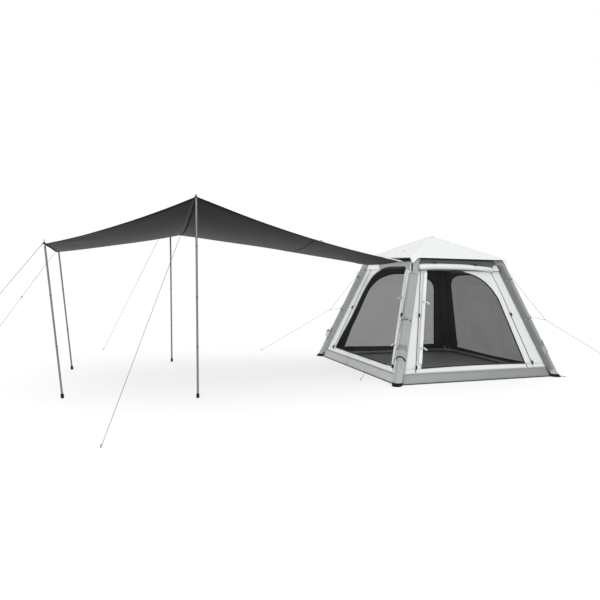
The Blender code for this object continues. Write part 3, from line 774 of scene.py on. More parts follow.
for side in ("front", "left"):
    n = out_of(side)
    p = Piece("doorway_hem_" + side, "hem", "black_web")
    curve = [tuple(q) for q in resample(DOOR_CURVE[side], 0.05, False)]
    white = [(u + 0.009, z + 0.004) for u, z in curve if z < 1.585]
    p.band(on_side(side, white, 0.0035), n, 0.018, 0.0018)
    p.band(on_side(side, [(u, z + 0.002) for u, z in curve if z > 1.580], 0.0035), n, 0.012,
           0.0018, 1)
    line = [(hinge_u(side, z) - 0.009, z) for z in (0.232, 0.5, 0.8, 1.1, 1.4, 1.592)]
    p.band(on_side(side, line, 0.0035), n, 0.016, 0.0018)
    # Black binding of the doorway, seen inside its edge.
    p.band(on_side(side, [(u - 0.009, z - 0.004) for u, z in curve], -0.0022), n, 0.034, 0.0022, 1)
    p.band(on_side(side, [(u + 0.010, z) for u, z in line], -0.0022), n, 0.020, 0.0022, 1)
    p.band(on_side(side, [(u, sill_top(side, u) + 0.006) for u in
                          (-0.95, -0.7, -0.4, -0.1, 0.2, 0.5, 0.88)], -0.001), n, 0.022, 0.0024, 1)
    p.build()

for side in ("back", "right"):
    n = out_of(side)
    p = Piece("window_binding_" + side, "black_web")
    line = [(u * 1.006, z) for u, z in WINDOW[side]]
    p.band(on_side(side, [tuple(q) for q in resample(line, 0.06)], 0.0022), n, 0.018, 0.0020,
           closed=True)
    p.band(on_side(side, [tuple(q) for q in resample(line, 0.06)], -0.0022), n, 0.018, 0.0020,
           closed=True)
    p.build()


# Rolled cloth: a real spiral, drawn in where its ties hold it
def rolled(name, node, place, lo, hi, outward, r, turns, ties, seed, mat,
           flat=1.0, arch=0.0, fall=0.0, thin=0.0):
    """place(s) is the roll's axis; the spiral's loose edge lies on its outer side."""
    p = Piece(name, mat)
    stations = 40
    up, rows, uvs = Vector(outward), [], []
    steps = int(turns * 22)
    axis0, axis1 = place(lo), place(hi)
    t = (axis1 - axis0).normalized()
    side = up.cross(t).normalized()
    length = (axis1 - axis0).length
    arc = 0.0
    spiral = []
    last = None
    for k in range(steps + 1):
        a = 2 * math.pi * turns * k / steps
        rad = 0.22 + 0.78 * (k / steps) ** 0.9
        q = (math.cos(a + 1.9) * rad * r, math.sin(a + 1.9) * rad * r)
        if last:
            arc += math.dist(last, q)
        last = q
        spiral.append((a, rad * r, arc))
    for i in range(stations + 1):
        s = i / stations
        centre = axis0.lerp(axis1, s)
        centre += Vector((0, 0, -0.004)) * noise.noise(Vector((s * 4, seed, 0)))
        centre.z += arch * (1 - (2 * s - 1) ** 2) - fall * s * s
        squeeze = 1.0 - thin * s ** 3
        for where, depth in ties:
            squeeze -= depth * math.exp(-((s - where) * length / 0.035) ** 2)
        end = min(s, 1 - s) * length
        squeeze *= 0.90 + 0.10 * min(1.0, end / 0.05)
        row, uv = [], []
        for a, rad, g in spiral:
            w = 1 + 0.035 * noise.noise(Vector((math.cos(a) * 1.4, math.sin(a) * 1.4, s * 7 + seed)))
            x, y = math.cos(a + 1.9) * rad * squeeze * w, math.sin(a + 1.9) * rad * squeeze * w
            row.append(centre + side * x + up * (y * flat))
            uv.append((s * length, g))
        rows.append(row)
        uvs.append(uv)
    p.grid(rows, uvs)
    return p.build([node], 0.0010, offset=0.0)


for side in ("front", "back", "right"):
    n = out_of(side)
    off = 0.0023 + FLAP_R
    toggles = ((-0.495, 0.09), (0.240, 0.17)) if side == "front" else ((-0.40, 0.12), (0.35, 0.12))
    lo, hi = (-0.765, 0.575) if side == "front" else (-0.700, 0.678)
    fall, thin = (0.022, 0.20) if side == "front" else (0.0, 0.0)
    ties = [((u - lo) / (hi - lo), d) for u, d in toggles]
    rolled("outer_flap_roll_" + side, "rolled_flap_" + side,
           lambda u: at(side, u, FLAP_Z - 0.016, off), lo, hi, n, FLAP_R * 0.975,
           6.5, ties, SEED[side], "roll", 0.97, 0.018, fall, thin)
    p = Piece("flap_toggles_" + side, "white_web", "black_plastic", "black_web")
    for u, d in toggles:
        s = (u - lo) / (hi - lo)
        r = FLAP_R * (1 - d - thin * s ** 3) + 0.001
        centre = at(side, u, FLAP_Z - 0.016, off)
        centre.z += 0.018 * (1 - (2 * s - 1) ** 2) - fall * s * s
        x = (at(side, u + 0.01, FLAP_Z) - at(side, u, FLAP_Z)).normalized()
        y = n.cross(x)
        loop = [centre + y * (r * math.sin(a)) + n * (r * math.cos(a))
                for a in (2 * math.pi * k / 22 for k in range(22))]
        ups = [(q - centre).normalized() for q in loop]
        p.sweep(loop, [(-0.006, -0.001), (0.006, -0.001), (0.006, 0.001), (-0.006, 0.001)], 0, ups,
                closed=True)
        # The toggle rests on the roll's upper side, on its elastic loop.
        lean = Vector((0, 0, 1)) * 0.93 + n * 0.37
        toggle(p, centre + lean * (r + 0.001), x, lean.normalized(), 0.050, 0.0095, 1)
        p.tube([at(side, u, 1.712, 0.004), at(side, u, 1.712, 0.022), centre + lean * (r + 0.006)],
               0.0025, 6, 2)
    p.build()

DOOR_ROLL = {"front": (-0.030, 0.029, 0.60, 9.5), "left": (-0.035, 0.025, 0.36, 13.5)}
for side in ("front", "left"):
    n = out_of(side)
    shift, r, flat, turns = DOOR_ROLL[side]
    off = 0.0023 + r * flat
    tie_z = (0.475, 1.120) if side == "front" else (0.510, 1.180)
    ties = [((z - 0.262) / 1.302, 0.10) for z in tie_z + (1.45,)]
    rolled("door_roll_" + side, "rolled_door_" + side,
           lambda z: at(side, hinge_u(side, z) + shift, z, off), 0.262, 1.564, n,
           r * 0.97, turns, ties, SEED[side] + 3, "door_roll", flat)
    p = Piece("door_ties_" + side, "white_web", "black_plastic")
    for z in tie_z:
        u = hinge_u(side, z) + shift
        centre = at(side, u, z, off)
        x = (at(side, hinge_u(side, z + 0.02) + shift, z + 0.02) - at(side, u, z)).normalized()
        y = n.cross(x)
        loop = [centre + y * ((r * 0.9 + 0.0025) * math.sin(a)) + n * ((r * 0.9 * flat + 0.003)
                                                                     * math.cos(a))
                for a in (2 * math.pi * k / 18 for k in range(18))]
        ups = [(q - centre).normalized() for q in loop]
        p.sweep(loop, [(-0.008, -0.0009), (0.008, -0.0009), (0.008, 0.0009), (-0.008, 0.0009)], 0,
                ups, closed=True)
        # The tie's loose end hangs into the doorway in an arc.
        for dx, dz in ((0.070, -0.030), (0.046, -0.036)):
            hang = [at(side, hinge_u(side, z) + 0.002 + dx * t,
                       z + dz * t * t + 0.014 * math.sin(math.pi * t * 0.9), 0.014)
                    for t in (0, 0.2, 0.4, 0.6, 0.8, 1.0)]
            p.band(hang, n, 0.010, 0.0016)
        toggle(p, at(side, hinge_u(side, z) - 0.045, z - 0.004, 2 * r * flat), x, n, 0.024, 0.006, 1)
    p.build()


# Beams in their sleeves
def beam_line(n_leg=34, n_bend=14, n_rafter=14):
    foot, bend = Vector((FOOT, FOOT, 0)), Vector((EAVE, EAVE, EAVE_Z))
    angle = LEG.angle(RAFTER)
    centre = bend + (RAFTER - LEG).normalized() * (BEND_R / math.cos(angle / 2))
    arm = bend - LEG * (BEND_R * math.tan(angle / 2)) - centre
    spin = LEG.cross(RAFTER).normalized()
    start = foot + LEG * ((PAD_R * math.hypot(LEG.x, LEG.y) - PAD_FLAT) / LEG.z + PAD_T + GAP)
    turn0 = centre + arm
    pts = [start.lerp(turn0, k / n_leg) for k in range(n_leg)]
    pts += [centre + Matrix.Rotation(angle * k / n_bend, 3, spin) @ arm for k in range(n_bend)]
    turn1 = centre + Matrix.Rotation(angle, 3, spin) @ arm
    e = RAFTER_END / math.sqrt(2)
    end = Vector((e, e, CROWN_Z - RAFTER_RISE * e))
    return pts + [turn1.lerp(end, k / n_rafter) for k in range(n_rafter + 1)]


STRAP_Z = {"front_left": (1.515, 0.862)}
for name, (sx, sy) in CORNERS.items():
    flip = Vector((sx, sy, 1))
    line = [q * flip for q in beam_line()]
    inward = Vector((-sx, -sy, 0)).normalized()
    across = Vector((-sy, sx, 0)).normalized()
    straps = STRAP_Z.get(name, (1.462, 0.862))
    # The right-hand beams take the darker painted-shade sleeve cloth.
    p = Piece("beam_sleeve_" + name, "grey_right" if sx > 0 else "grey", "lining", "sleeve_low",
              "grey_side")
    sides = 40
    rows, uvs, along = [], [], 0.0
    for k, q in enumerate(line):
        t = (line[min(len(line) - 1, k + 1)] - line[max(0, k - 1)]).normalized()
        nrm = (inward - t * inward.dot(t)).normalized()
        if k:
            along += (q - line[k - 1]).length
        tight = 1.0
        for z in straps:
            tight -= 0.045 * math.exp(-((q.z - z) / 0.022) ** 2)
        if q.z < 0.335:
            tight -= 0.035
        row, uv = [], []
        for j in range(sides):
            a = 2 * math.pi * j / sides
            pucker = 0.012 * math.sin(a * 9) * math.exp(-((q.z - 1.70) / 0.06) ** 2)
            wob = 0.012 * noise.noise(Vector((math.cos(a) + sx, math.sin(a) + sy, along * 5)))
            r = BEAM_R * (tight + wob + pucker)
            row.append(q + nrm * (r * math.cos(a)) + across * (r * math.sin(a)))
            uv.append((along, a * BEAM_R))
        rows.append(row)
        uvs.append(uv)
    base = p.grid(rows, uvs, wrap=True, flip=(sx * sy < 0))
    # Inside the tent the sleeve is black.
    for i, f in enumerate(p.f):
        j = (f[0] - base) % sides
        a = 2 * math.pi * ((j + 0.5) % sides) / sides
        z = sum(p.v[v].z for v in f) / 4
        if abs((a + math.pi) % (2 * math.pi) - math.pi) < math.radians(43) or z > 1.83:
            p.m[i] = 1
        elif z < 0.335 and sx < 0:
            p.m[i] = 2
        elif sx > 0 and z < 1.70 and 245 < math.degrees(a if sy < 0 else 2 * math.pi - a) < 318:
            # The part that faces the front or back wall is painted a darker grey: painted shade on the side
            # turned from the light.
            p.m[i] = 3
    w = sides
    p.cap([base + j for j in range(w)], 0, flip=(sx * sy > 0))
    p.cap([base + (len(line) - 1) * w + j for j in range(w)], 1, flip=(sx * sy < 0))
    p.build(["air_beam_" + name])

    # Straps, seams and the patch low on the sleeve.
    p = Piece("beam_trim_" + name, "grey_web", "grey_seam", "black_plastic", "grey_patch",
              "white_web", "patch_top", "grey_band")
    leg = [q for q in line if q.z < 1.60]

    def ring_at(z, r, a0, a1, n):
        c = Vector((FOOT - LEAN * z, FOOT - LEAN * z, z)) * flip
        t = (LEG * flip).normalized()
        nrm = (inward - t * inward.dot(t)).normalized()
        pts, ups = [], []
        for k in range(n + 1):
            a = a0 + (a1 - a0) * k / n
            d = nrm * math.cos(a) + across * math.sin(a)
            pts.append(c + d * r)
            ups.append(d)
        return pts, ups

    half = math.radians(45)
    for z in straps:
        pts, ups = ring_at(z, BEAM_R * 0.962 + 0.0012, half, 2 * math.pi - half, 26)
        p.sweep(pts, [(-0.011, -0.001), (0.011, -0.001), (0.011, 0.001), (-0.011, 0.001)], 0, ups)
        for a in (() if z > 1.5 else (-1.15, -0.30, 0.30, 1.15)):
            pts, ups = ring_at(z, BEAM_R * 0.962 + 0.0035, math.pi + a - 0.11, math.pi + a + 0.11, 3)
            p.sweep(pts, [(-0.010, -0.0025), (0.010, -0.0025), (0.010, 0.0025), (-0.010, 0.0025)], 2,
                    ups)
        # A webbing loop stands off the sleeve above the strap.
        d = (LEG * flip).normalized()
        c = Vector((FOOT - LEAN * z, FOOT - LEAN * z, z)) * flip
        o = (-inward - d * (-inward).dot(d)).normalized()
        size = 1.5 if z > 1.4 and name != "front_left" else 1.0
        p.band([c + o * (BEAM_R + dy * size) + d * dx * size for dx, dy in
                ((0.008, -0.002), (0.016, 0.010), (0.030, 0.015), (0.044, 0.010), (0.052, -0.002))],
               [o] * 5, 0.018, 0.0040, 6)
    for a in (half + 0.10, 2 * math.pi - half - 0.10, math.pi - 0.55, math.pi + 0.55):
        pts, ups = [], []
        for q in leg[3:]:
            t = (LEG * flip).normalized()
            nrm = (inward - t * inward.dot(t)).normalized()
            d = nrm * math.cos(a) + across * math.sin(a)
            pts.append(q + d * (BEAM_R * 0.995))
            ups.append(d)
        p.sweep(pts, [(-0.0045, -0.0006), (0.0045, -0.0006), (0.0045, 0.0014), (-0.0045, 0.0014)],
                1, ups)
    # Reinforcement patch, creased, with an arched lower hem and a darker upper part.
    rows, uvs, hem, hem_up = [], [], [], []
    for i in range(15):
        row, uv = [], []
        for j in range(27):
            a = math.pi + math.radians(76) * (j / 13 - 1)
            arch = 0.044 * math.cos((a - math.pi) * 1.15)
            z = 0.314 + arch + (0.520 - 0.314 - arch) * i / 14
            c = Vector((FOOT - LEAN * z, FOOT - LEAN * z, z)) * flip
            t = (LEG * flip).normalized()
            nrm = (inward - t * inward.dot(t)).normalized()
            d = nrm * math.cos(a) + across * math.sin(a)
            r = BEAM_R * 1.012 + 0.0030 + 0.0050 * (1 - i / 14)
            r += 0.0075 * noise.noise(Vector((math.cos(a) * 4, math.sin(a) * 4, z * 22 + sx)))
            row.append(c + d * r)
            uv.append((a * BEAM_R, z))
            if i == 0:
                hem.append(c + d * (r + 0.0012))
                hem_up.append(d)
        rows.append(row)
        uvs.append(uv)
    p.grid(rows[:9], uvs[:9], 3, flip=(sx * sy > 0))
    p.grid(rows[8:], uvs[8:], 5, flip=(sx * sy > 0))
    # The hem is real; on the front left beam it is black, standing in for the shadow beneath the patch's
    # lower edge: painted shadow.
    p.sweep(hem, [(-0.008, -0.0015), (0.008, -0.0015), (0.008, 0.0020), (-0.008, 0.0020)],
            2 if name == "front_left" else 6, hem_up)

    def along_leg(z0, z1, a0, a1, n):
        pts, ups = [], []
        for k in range(n + 1):
            a = math.radians(a0 + (a1 - a0) * k / n)
            (q,), (d,) = (v[:1] for v in ring_at(z0 + (z1 - z0) * k / n, BEAM_R * 1.010, a, a, 1))
            pts.append(q)
            ups.append(d)
        return pts, ups

    if name == "front_left":
        # Dark slot high on this sleeve, a pale binding beside it.
        pts, ups = along_leg(1.540, 1.672, 184, 200, 6)
        p.sweep(pts, [(-0.009, -0.0012), (0.009, -0.0012), (0.009, 0.0018), (-0.009, 0.0018)], 2, ups)
        pts, ups = along_leg(1.535, 1.672, 212, 232, 6)
        p.sweep(pts, [(-0.008, -0.0012), (0.008, -0.0012), (0.008, 0.0024), (-0.008, 0.0024)], 4, ups)
    p.build()

# Flanges that sew the sleeves to the walls, grey outside and black inside
FLANGE = {("front", -1): (0.026, 0.010), ("front", 1): (0.018, 0.034), ("left", -1): (0.012, 0.012),
          ("left", 1): (0.048, 0.052)}
for side in ("front", "left", "back", "right"):
    p = Piece("sleeve_flange_" + side, "grey", "lining", "grey_side")
    for k in (-1, 1):
        low_w, top_w = FLANGE.get((side, k), (0.030, 0.030))
        outer, inner, uv_o, uv_i = [], [], [], []
        for i in range(25):
            z = 0.130 + (1.600 - 0.130) * i / 24
            c = FOOT - LEAN * z
            w = low_w + (top_w - low_w) * i / 24
            w += 0.002 * noise.noise(Vector((i * 0.7, k, SEED[side])))
            edge = c - BEAM_R * EDGE
            lift = c - math.sqrt(BEAM_R ** 2 - 0.026 ** 2) * EDGE + 0.003
            line = ((lift, 0.026), (edge - 0.30 * w, 0.0135), (edge - 0.70 * w, 0.0075),
                    (edge - w, 0.0052))
            outer.append([at(side, k * u, z, o) for u, o in line])
            uv_o.append([(z, u) for u, o in line])
            line = ((lift, -0.026), (edge - 0.012, -0.0125), (edge - 0.030, -0.0080))
            inner.append([at(side, k * u, z, o) for u, o in line])
            uv_i.append([(z, u) for u, o in line])
        # The flanges beside the right-hand beams on the front and back walls are painted the same darker
        # grey: painted shade.
        dark = (side, k) in (("front", 1), ("back", -1))
        p.grid(outer, uv_o, 2 if dark else 0, flip=(k < 0) != (side == "left"))
        p.grid(inner, uv_i, 1, flip=(k > 0) != (side == "left"))
    p.build(thick=0.0012, offset=0.0)

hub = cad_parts["crown_hub"]
hub.data.materials.clear()
hub.data.materials.append(M["lining"])
for name, (sx, sy) in CORNERS.items():
    # Sole of the leaning tube, flat on the ground; the sleeve's cuff comes down to it.
    tilt = LEG.z
    out = Vector((sx, sy, 0)).normalized()
    b = Vector((-sy, sx, 0)).normalized()

    def level_ring(z, r, push, n=36):
        c = Vector(((FOOT - LEAN * z) * sx, (FOOT - LEAN * z) * sy, z))
        angles = [2 * math.pi * j / n for j in range(n)]
        return ([c + out * (r / tilt * math.cos(a) + push * max(0.0, math.cos(a)))
                 + b * (r * math.sin(a)) for a in angles], [(a * r, z) for a in angles])

    p = Piece("beam_sole_" + name, "rubber")
    rings = [level_ring(*v) for v in ((0.0006, 0.066, 0.016), (0.004, 0.0705, 0.018),
                                      (0.038, 0.0705, 0.006), (0.046, 0.0685, 0.0))]
    k = p.grid([v[0] for v in rings], [v[1] for v in rings], wrap=True)
    p.cap([k + j for j in range(36)], flip=True)
    p.cap([k + 3 * 36 + j for j in range(36)])
    p.build(["beam_foot_" + name])
    p = Piece("sleeve_cuff_" + name, "sleeve_low", "lining")
    d = LEG * Vector((sx, sy, 1))
    o = (out - d * out.dot(d)).normalized()
    rings = [level_ring(0.043, 0.0655, 0.0)]
    for h in (0.100, 0.112):
        c = Vector((FOOT * sx, FOOT * sy, 0)) + d * h
        angles = [2 * math.pi * j / 36 for j in range(36)]
        rings.append(([c + (o * math.cos(a) + b * math.sin(a)) * (0.0652 if h < 0.11 else 0.0636)
                       for a in angles], [(a * 0.065, h) for a in angles]))
    p.grid([v[0] for v in rings], [v[1] for v in rings], wrap=True)
    for i in range(len(p.f)):
        if abs(2 * math.pi * (i % 36 + 0.5) / 36 - math.pi) < math.radians(72):
            p.m[i] = 1
    p.build()


# Roof fly
FLY_ROWS = [k / 20 * 0.90 for k in range(20)] + [0.90, 0.915, 0.93, 0.94, 0.95, 0.96, 0.97, 0.98,
                                                 0.99, 1.0]
EAVE_ROW = FLY_ROWS.index(0.93)


def fly_point(i, j):
    ring = max(abs(i), abs(j))
    if ring == 0:
        return Vector((0, 0, PEAK_Z - 0.004))
    share = min(1.0, FLY_ROWS[ring] / 0.93)
    fall = max(0.0, FLY_ROWS[ring] - 0.93) / 0.07
    tx = math.copysign(abs(i) / ring, i)
    ty = math.copysign(abs(j) / ring, j)
    t = min(abs(tx), abs(ty))
    tab = max(0.0, (t - TAB_START) / (1 - TAB_START)) ** 1.5
    size = (FLY_HALF + TAB_SPREAD * tab * fall + 0.0015 * fall) * share
    size /= (abs(tx) ** 26 + abs(ty) ** 26) ** (1 / 26)
    z = PEAK_Z - (PEAK_Z - FLY_EAVE_Z) * share
    z -= 0.014 * math.sin(math.pi * share) * (1 - t * t)
    z -= 0.0035 * max(0.0, 1 - (1 - t) / 0.07) * min(1.0, share * 4)
    x, y = tx * size, ty * size
    slack = noise.noise(Vector((x * 2.6, y * 2.6, 2.2))) * 0.5
    slack += 0.5 * noise.noise(Vector((x * 7, y * 7, 5.2))) * (1 - t)
    z += 0.006 * slack * math.sin(math.pi * min(1.0, share)) * (1 - t ** 6)
    return Vector((x, y, z - fall * (0.012 + TAB_DROP * tab)))


n = len(FLY_ROWS) - 1
p = Piece("roof_fly_cloth", "fly", "underside_shade")
rows = [[fly_point(i, j) for j in range(-n, n + 1)] for i in range(-n, n + 1)]
p.grid(rows, [[(q.x, q.y) for q in row] for row in rows], flip=True)
# The fly's underside takes the near-black painted-shade cloth.
p.build(["roof_fly"], 0.0014, back=True)

p = Piece("roof_fly_trim", "fly_hem", "black_plastic", "white_web", "underside_shade", "grey_web",
          "grey")
ring = [(i, n) for i in range(-n, n)] + [(n, j) for j in range(n, -n, -1)]
ring += [(i, -n) for i in range(n, -n, -1)] + [(-n, j) for j in range(-n, n)]
edge = [fly_point(i, j) for i, j in ring]
ups = [Vector((q.x, q.y, 0)).normalized() for q in edge]
p.sweep([q + Vector((0, 0, 0.004)) + u * 0.0006 for q, u in zip(edge, ups)],
        [(-0.0055, -0.0004), (0.0055, -0.0004), (0.0055, 0.0014), (-0.0055, 0.0014)], 0, ups,
        closed=True)
for sx, sy in CORNERS.values():
    seam = [fly_point(sx * k, sy * k) for k in range(1, EAVE_ROW + 4, 2)]
    p.band([q + Vector((0, 0, 0.0012)) for q in seam], Vector((0, 0, 1)), 0.016, 0.0018, 0)
# Flat loop and stitched patch at the peak, an eyelet and two tacks on the left face.
p.band([Vector((x, -0.030, PEAK_Z - 0.013 + 0.004 * math.cos(x * 60))) for x in
        (-0.022, -0.011, 0.0, 0.011, 0.022)], Vector((0, -0.42, 1)).normalized(), 0.016, 0.0030, 5)
p.band([Vector((x, -0.052, PEAK_Z - 0.020)) for x in (-0.004, 0.018, 0.040)],
       Vector((0, -0.42, 1)).normalized(), 0.018, 0.0030, 2)


def on_left_face(y, x):
    """A point just above the fly's left face."""
    share = -x / FLY_HALF
    rise = PEAK_Z - (PEAK_Z - FLY_EAVE_Z) * share - 0.014 * math.sin(math.pi * share) * (
        1 - (y / x) ** 2)
    return Vector((x, y, rise + 0.0045))


tip = Vector((-(PEAK_Z - FLY_EAVE_Z) / FLY_HALF, 0, 1)).normalized()
spot = on_left_face(-0.113, -0.589)
m = Matrix.Translation(spot) @ tip.to_track_quat("Z", "Y").to_matrix().to_4x4()
p.lathe([(0.0, 0.0012), (0.016, 0.0012), (0.024, 0.0004), (0.026, -0.003)], m, 24, 5)
for dy, dx in ((-0.030, -0.642), (0.035, -0.650)):
    c = on_left_face(dy, dx)
    p.band([c + Vector((0, t, 0)) for t in (-0.014, 0, 0.014)], tip, 0.008, 0.0016, 5)
p.build()


# Valve pouch on the back left beam
z = 0.428
where = (Matrix.Translation((-(FOOT - LEAN * z + BEAM_R * EDGE + 0.0245), FOOT - LEAN * z + 0.02, z))
         @ Matrix.Rotation(math.atan(LEAN), 4, "Y"))
p = Piece("valve_pouch_cloth", "fly", "zip", "grey_web", "black_plastic")
rows, uvs = [], []
for i in range(13):
    v = i / 12 * 2 - 1
    row, uv = [], []
    for j in range(28):
        a = 2 * math.pi * j / 28
        ca, sa = math.cos(a), math.sin(a)
        s = (1 - abs(v) ** 5) ** 0.35 if abs(v) < 1 else 0.0
        x = 0.020 * math.copysign(abs(ca) ** 0.45, ca) * (0.35 + 0.65 * s)
        y = 0.046 * math.copysign(abs(sa) ** 0.45, sa) * (0.70 + 0.30 * s)
        x *= 1 + 0.08 * noise.noise(Vector((sa * 2, v * 2, 1)))
        row.append(where @ Vector((x, y, 0.060 * v)))
        uv.append((a * 0.03, 0.06 * v))
    rows.append(row)
    uvs.append(uv)
base = p.grid(rows, uvs, wrap=True)
p.cap([base + j for j in range(28)], flip=True)
p.cap([base + 12 * 28 + j for j in range(28)])
p.band([where @ Vector((-0.0195, -0.036 + 0.072 * k / 6, 0.034)) for k in range(7)],
       where.to_3x3() @ Vector((-1, 0, 0)), 0.008, 0.003, 1)
p.band([where @ Vector((-0.0200, -0.042, zz)) for zz in (-0.055, 0, 0.028)],
       where.to_3x3() @ Vector((-1, 0, 0)), 0.006, 0.002, 2)
p.tube([where @ Vector((-0.008, y, 0.062)) for y in (-0.040, -0.030, 0.0, 0.024)], 0.0150, 10, 3,
       [0.7, 1.0, 1.0, 0.8])
p.build(["valve_pouch"])


# Floor with its raised edge and folds
s, c = FLOOR_HALF, FLOOR_CORNER - FLOOR_HALF
p = Piece("tent_floor_cloth", "floor")
count = 56
rows, uvs = [], []
for i in range(count + 1):
    row, uv = [], []
    for j in range(count + 1):
        x, y = (i / count * 2 - 1) * s, (j / count * 2 - 1) * s
        over = abs(x) + abs(y) - FLOOR_CORNER
        if over > 0:
            x -= math.copysign(over / 2, x)
            y -= math.copysign(over / 2, y)
        edge = min(1.0, (s - max(abs(x), abs(y))) / 0.10)
        fold = 0.0020 + 0.0045 * max(0.0, noise.noise(Vector((x * 1.6, y * 1.6, 9.0)))) * edge
        for at_x in (-0.46, 0.46):
            fold += 0.0016 * math.exp(-((x - at_x) / 0.012) ** 2)
            fold += 0.0016 * math.exp(-((y - at_x) / 0.012) ** 2)
        row.append(Vector((x, y, fold + 0.0012)))
        uv.append((x, y))
    rows.append(row)
    uvs.append(uv)
p.grid(rows, uvs, flip=False)
p.build(["tent_floor"], 0.0010)


# The floor's raised edge, its corners cut inside the beams
p = Piece("tent_floor_rim", "floor")
ring = []
cut = FLOOR_CORNER - s
for cx, cy in ((1, -1), (1, 1), (-1, 1), (-1, -1)):
    first, last = (cx * cut, cy * s), (cx * s, cy * cut)
    ring += [first, last] if cx * cy < 0 else [last, first]
ring = resample(ring, 0.06)
low, high, uv_l, uv_h, run = [], [], [], [], 0.0
for k, q in enumerate(ring):
    if k:
        run += (q - ring[k - 1]).length
    size = max(abs(q.x), abs(q.y))
    corner = abs(q.x) + abs(q.y) > FLOOR_CORNER - 0.004
    h = 0.064 + 0.006 * noise.noise(Vector((q.x * 3, q.y * 3, 4.4)))
    k_in = 0.026 / (math.hypot(q.x, q.y) if corner else size)
    low.append(Vector((q.x * 0.9985, q.y * 0.9985, 0.0022)))
    high.append(Vector((q.x * (1 - k_in), q.y * (1 - k_in), h)))
    uv_l.append((run, 0.0))
    uv_h.append((run, h))
p.grid([low + low[:1], high + high[:1]], [uv_l + uv_l[:1], uv_h + uv_h[:1]])
p.build(thick=0.0010, offset=0.0)


# Awning canopy
def blend(t, a, b, c):
    return a * (1 - t) * (1 - 2 * t) + 4 * b * t * (1 - t) + c * t * (2 * t - 1)


def canopy_point(x, v, inset=0.0):
    if x <= AW_RIDGE[0]:
        (x0, w0, z0), (x1, w1, z1), sags, k = AW_END, AW_RIDGE, AW_SAG[:3], 0
    else:
        (x0, w0, z0), (x1, w1, z1), sags, k = AW_RIDGE, AW_TENT, AW_SAG[2:], 1
    t = (x - x0) / (x1 - x0)
    arch = 4 * t * (1 - t)
    w = w0 + (w1 - w0) * t - AW_BOW[k] * arch + AW_LIP - inset
    z = z0 + (z1 - z0) * t - AW_DIP[k] * arch - blend(t, *sags) * (1 - v * v)
    if k == 0:
        x += (1 - t) ** 3 * (AW_END_CURVE * (1 - v * v) - AW_LIP)
    else:
        x -= t ** 6 * AW_TENT_CURVE * (1 - v * v)
    return Vector((x, v * w, z))


def canopy_cloth(x, v):
    q = canopy_point(x, v)
    e = (1 - v * v)
    q.z += 0.010 * e * noise.noise(Vector((x * 1.1, v * 1.6, 3.3)))
    # Pull lines run out from the four grommets.
    for gx, gw, gz in (AW_END, AW_RIDGE):
        for sy in (-1, 1):
            dx, dy = q.x - gx, q.y - sy * gw
            d = math.hypot(dx, dy)
            a = math.atan2(dy * -sy, dx)
            q.z += 0.0045 * math.sin(a * 9) * math.exp(-((d - 0.35) / 0.28) ** 2) * min(1.0, d / 0.1)
    return q


xs = [AW_END[0] + (AW_RIDGE[0] - AW_END[0]) * k / 26 for k in range(26)]
xs += [AW_RIDGE[0] + (AW_TENT[0] - AW_RIDGE[0]) * k / 44 for k in range(45)]
vs = [k / 20 - 1 for k in range(41)]
rows = [[canopy_cloth(x, v) for v in vs] for x in xs]
p = Piece("awning_canopy_cloth", "awning")
uvs, along = [], [0.0] * len(vs)
for k, row in enumerate(rows):
    if k:
        along = [a + (q - o).length for a, q, o in zip(along, row, rows[k - 1])]
    uvs.append([(a, q.y) for a, q in zip(along, row)])
p.grid(rows, uvs, flip=True)
p.build(["awning_canopy"], 0.0012, offset=0.0)

p = Piece("awning_trim", "awning_band", "dark_steel", "white_web", "black_web")
for under in (-1, 1):
    off = Vector((0, 0, 0.0016 * under))
    for sy in (-1, 1):
        q = [canopy_cloth(x, sy * 0.988) + off for x in xs]
        p.band(q, [Vector((0, 0, 1))] * len(q), 0.026, 0.0014, 0)
    q = [canopy_cloth(AW_END[0] + 0.012, v) + off for v in vs]
    p.band(q, Vector((0, 0, 1)), 0.026, 0.0014, 0)
    q = [canopy_cloth(AW_TENT[0] - 0.012, v) + off for v in vs]
    p.band(q, Vector((0, 0, 1)), 0.026, 0.0014, 0)
    for x, width in ((AW_RIDGE[0] - 0.004, 0.034), (-2.460, 0.018)):
        q = [canopy_cloth(x, v) + off for v in vs]
        p.band(q, Vector((0, 0, 1)), width, 0.0014, 0)
for gx, gw, gz in (AW_END, AW_RIDGE):
    for sy in (-1, 1):
        # Grommet rings, either side of the cloth, and a stitched corner patch.
        v = sy * gw / (gw + AW_LIP)
        c = canopy_cloth(gx + (0.012 if gx == AW_END[0] else 0), v)
        c.x, c.y = gx, sy * gw
        p.lathe([(0.0062, -0.0032), (0.0128, -0.0032), (0.0138, -0.0018), (0.0138, 0.0018),
                 (0.0128, 0.0032), (0.0062, 0.0032), (0.0052, 0.0), (0.0062, -0.0032)],
                Matrix.Translation(c), 20, 1)
for sy in (-1, 1):
    c = canopy_cloth(AW_TENT[0] - 0.02, sy * 0.96)
    p.band([c + Vector((-0.03, 0, -0.003)), c + Vector((0.016, 0, -0.004))], Vector((0, 0, 1)),
           0.024, 0.002, 2)
# Small loop on the front edge, half way to the tent.
c = canopy_cloth(-2.36, -0.99)
p.tube([c + Vector((dx, 0, dz)) for dx, dz in ((-0.022, 0.001), (-0.014, 0.013), (0, 0.018),
                                              (0.014, 0.013), (0.022, 0.001))], 0.0038, 6, 3)
# White piping where the side edges run out to the straps.
for sy in (-1, 1):
    q = [canopy_cloth(x, sy) + Vector((0, 0.002 * sy, 0.004)) for x in (-1.30, -1.22, -1.14, -1.07, -1.022)]
    p.band(q, Vector((0, sy, 0.15)).normalized(), 0.014, 0.003, 2)
p.build()

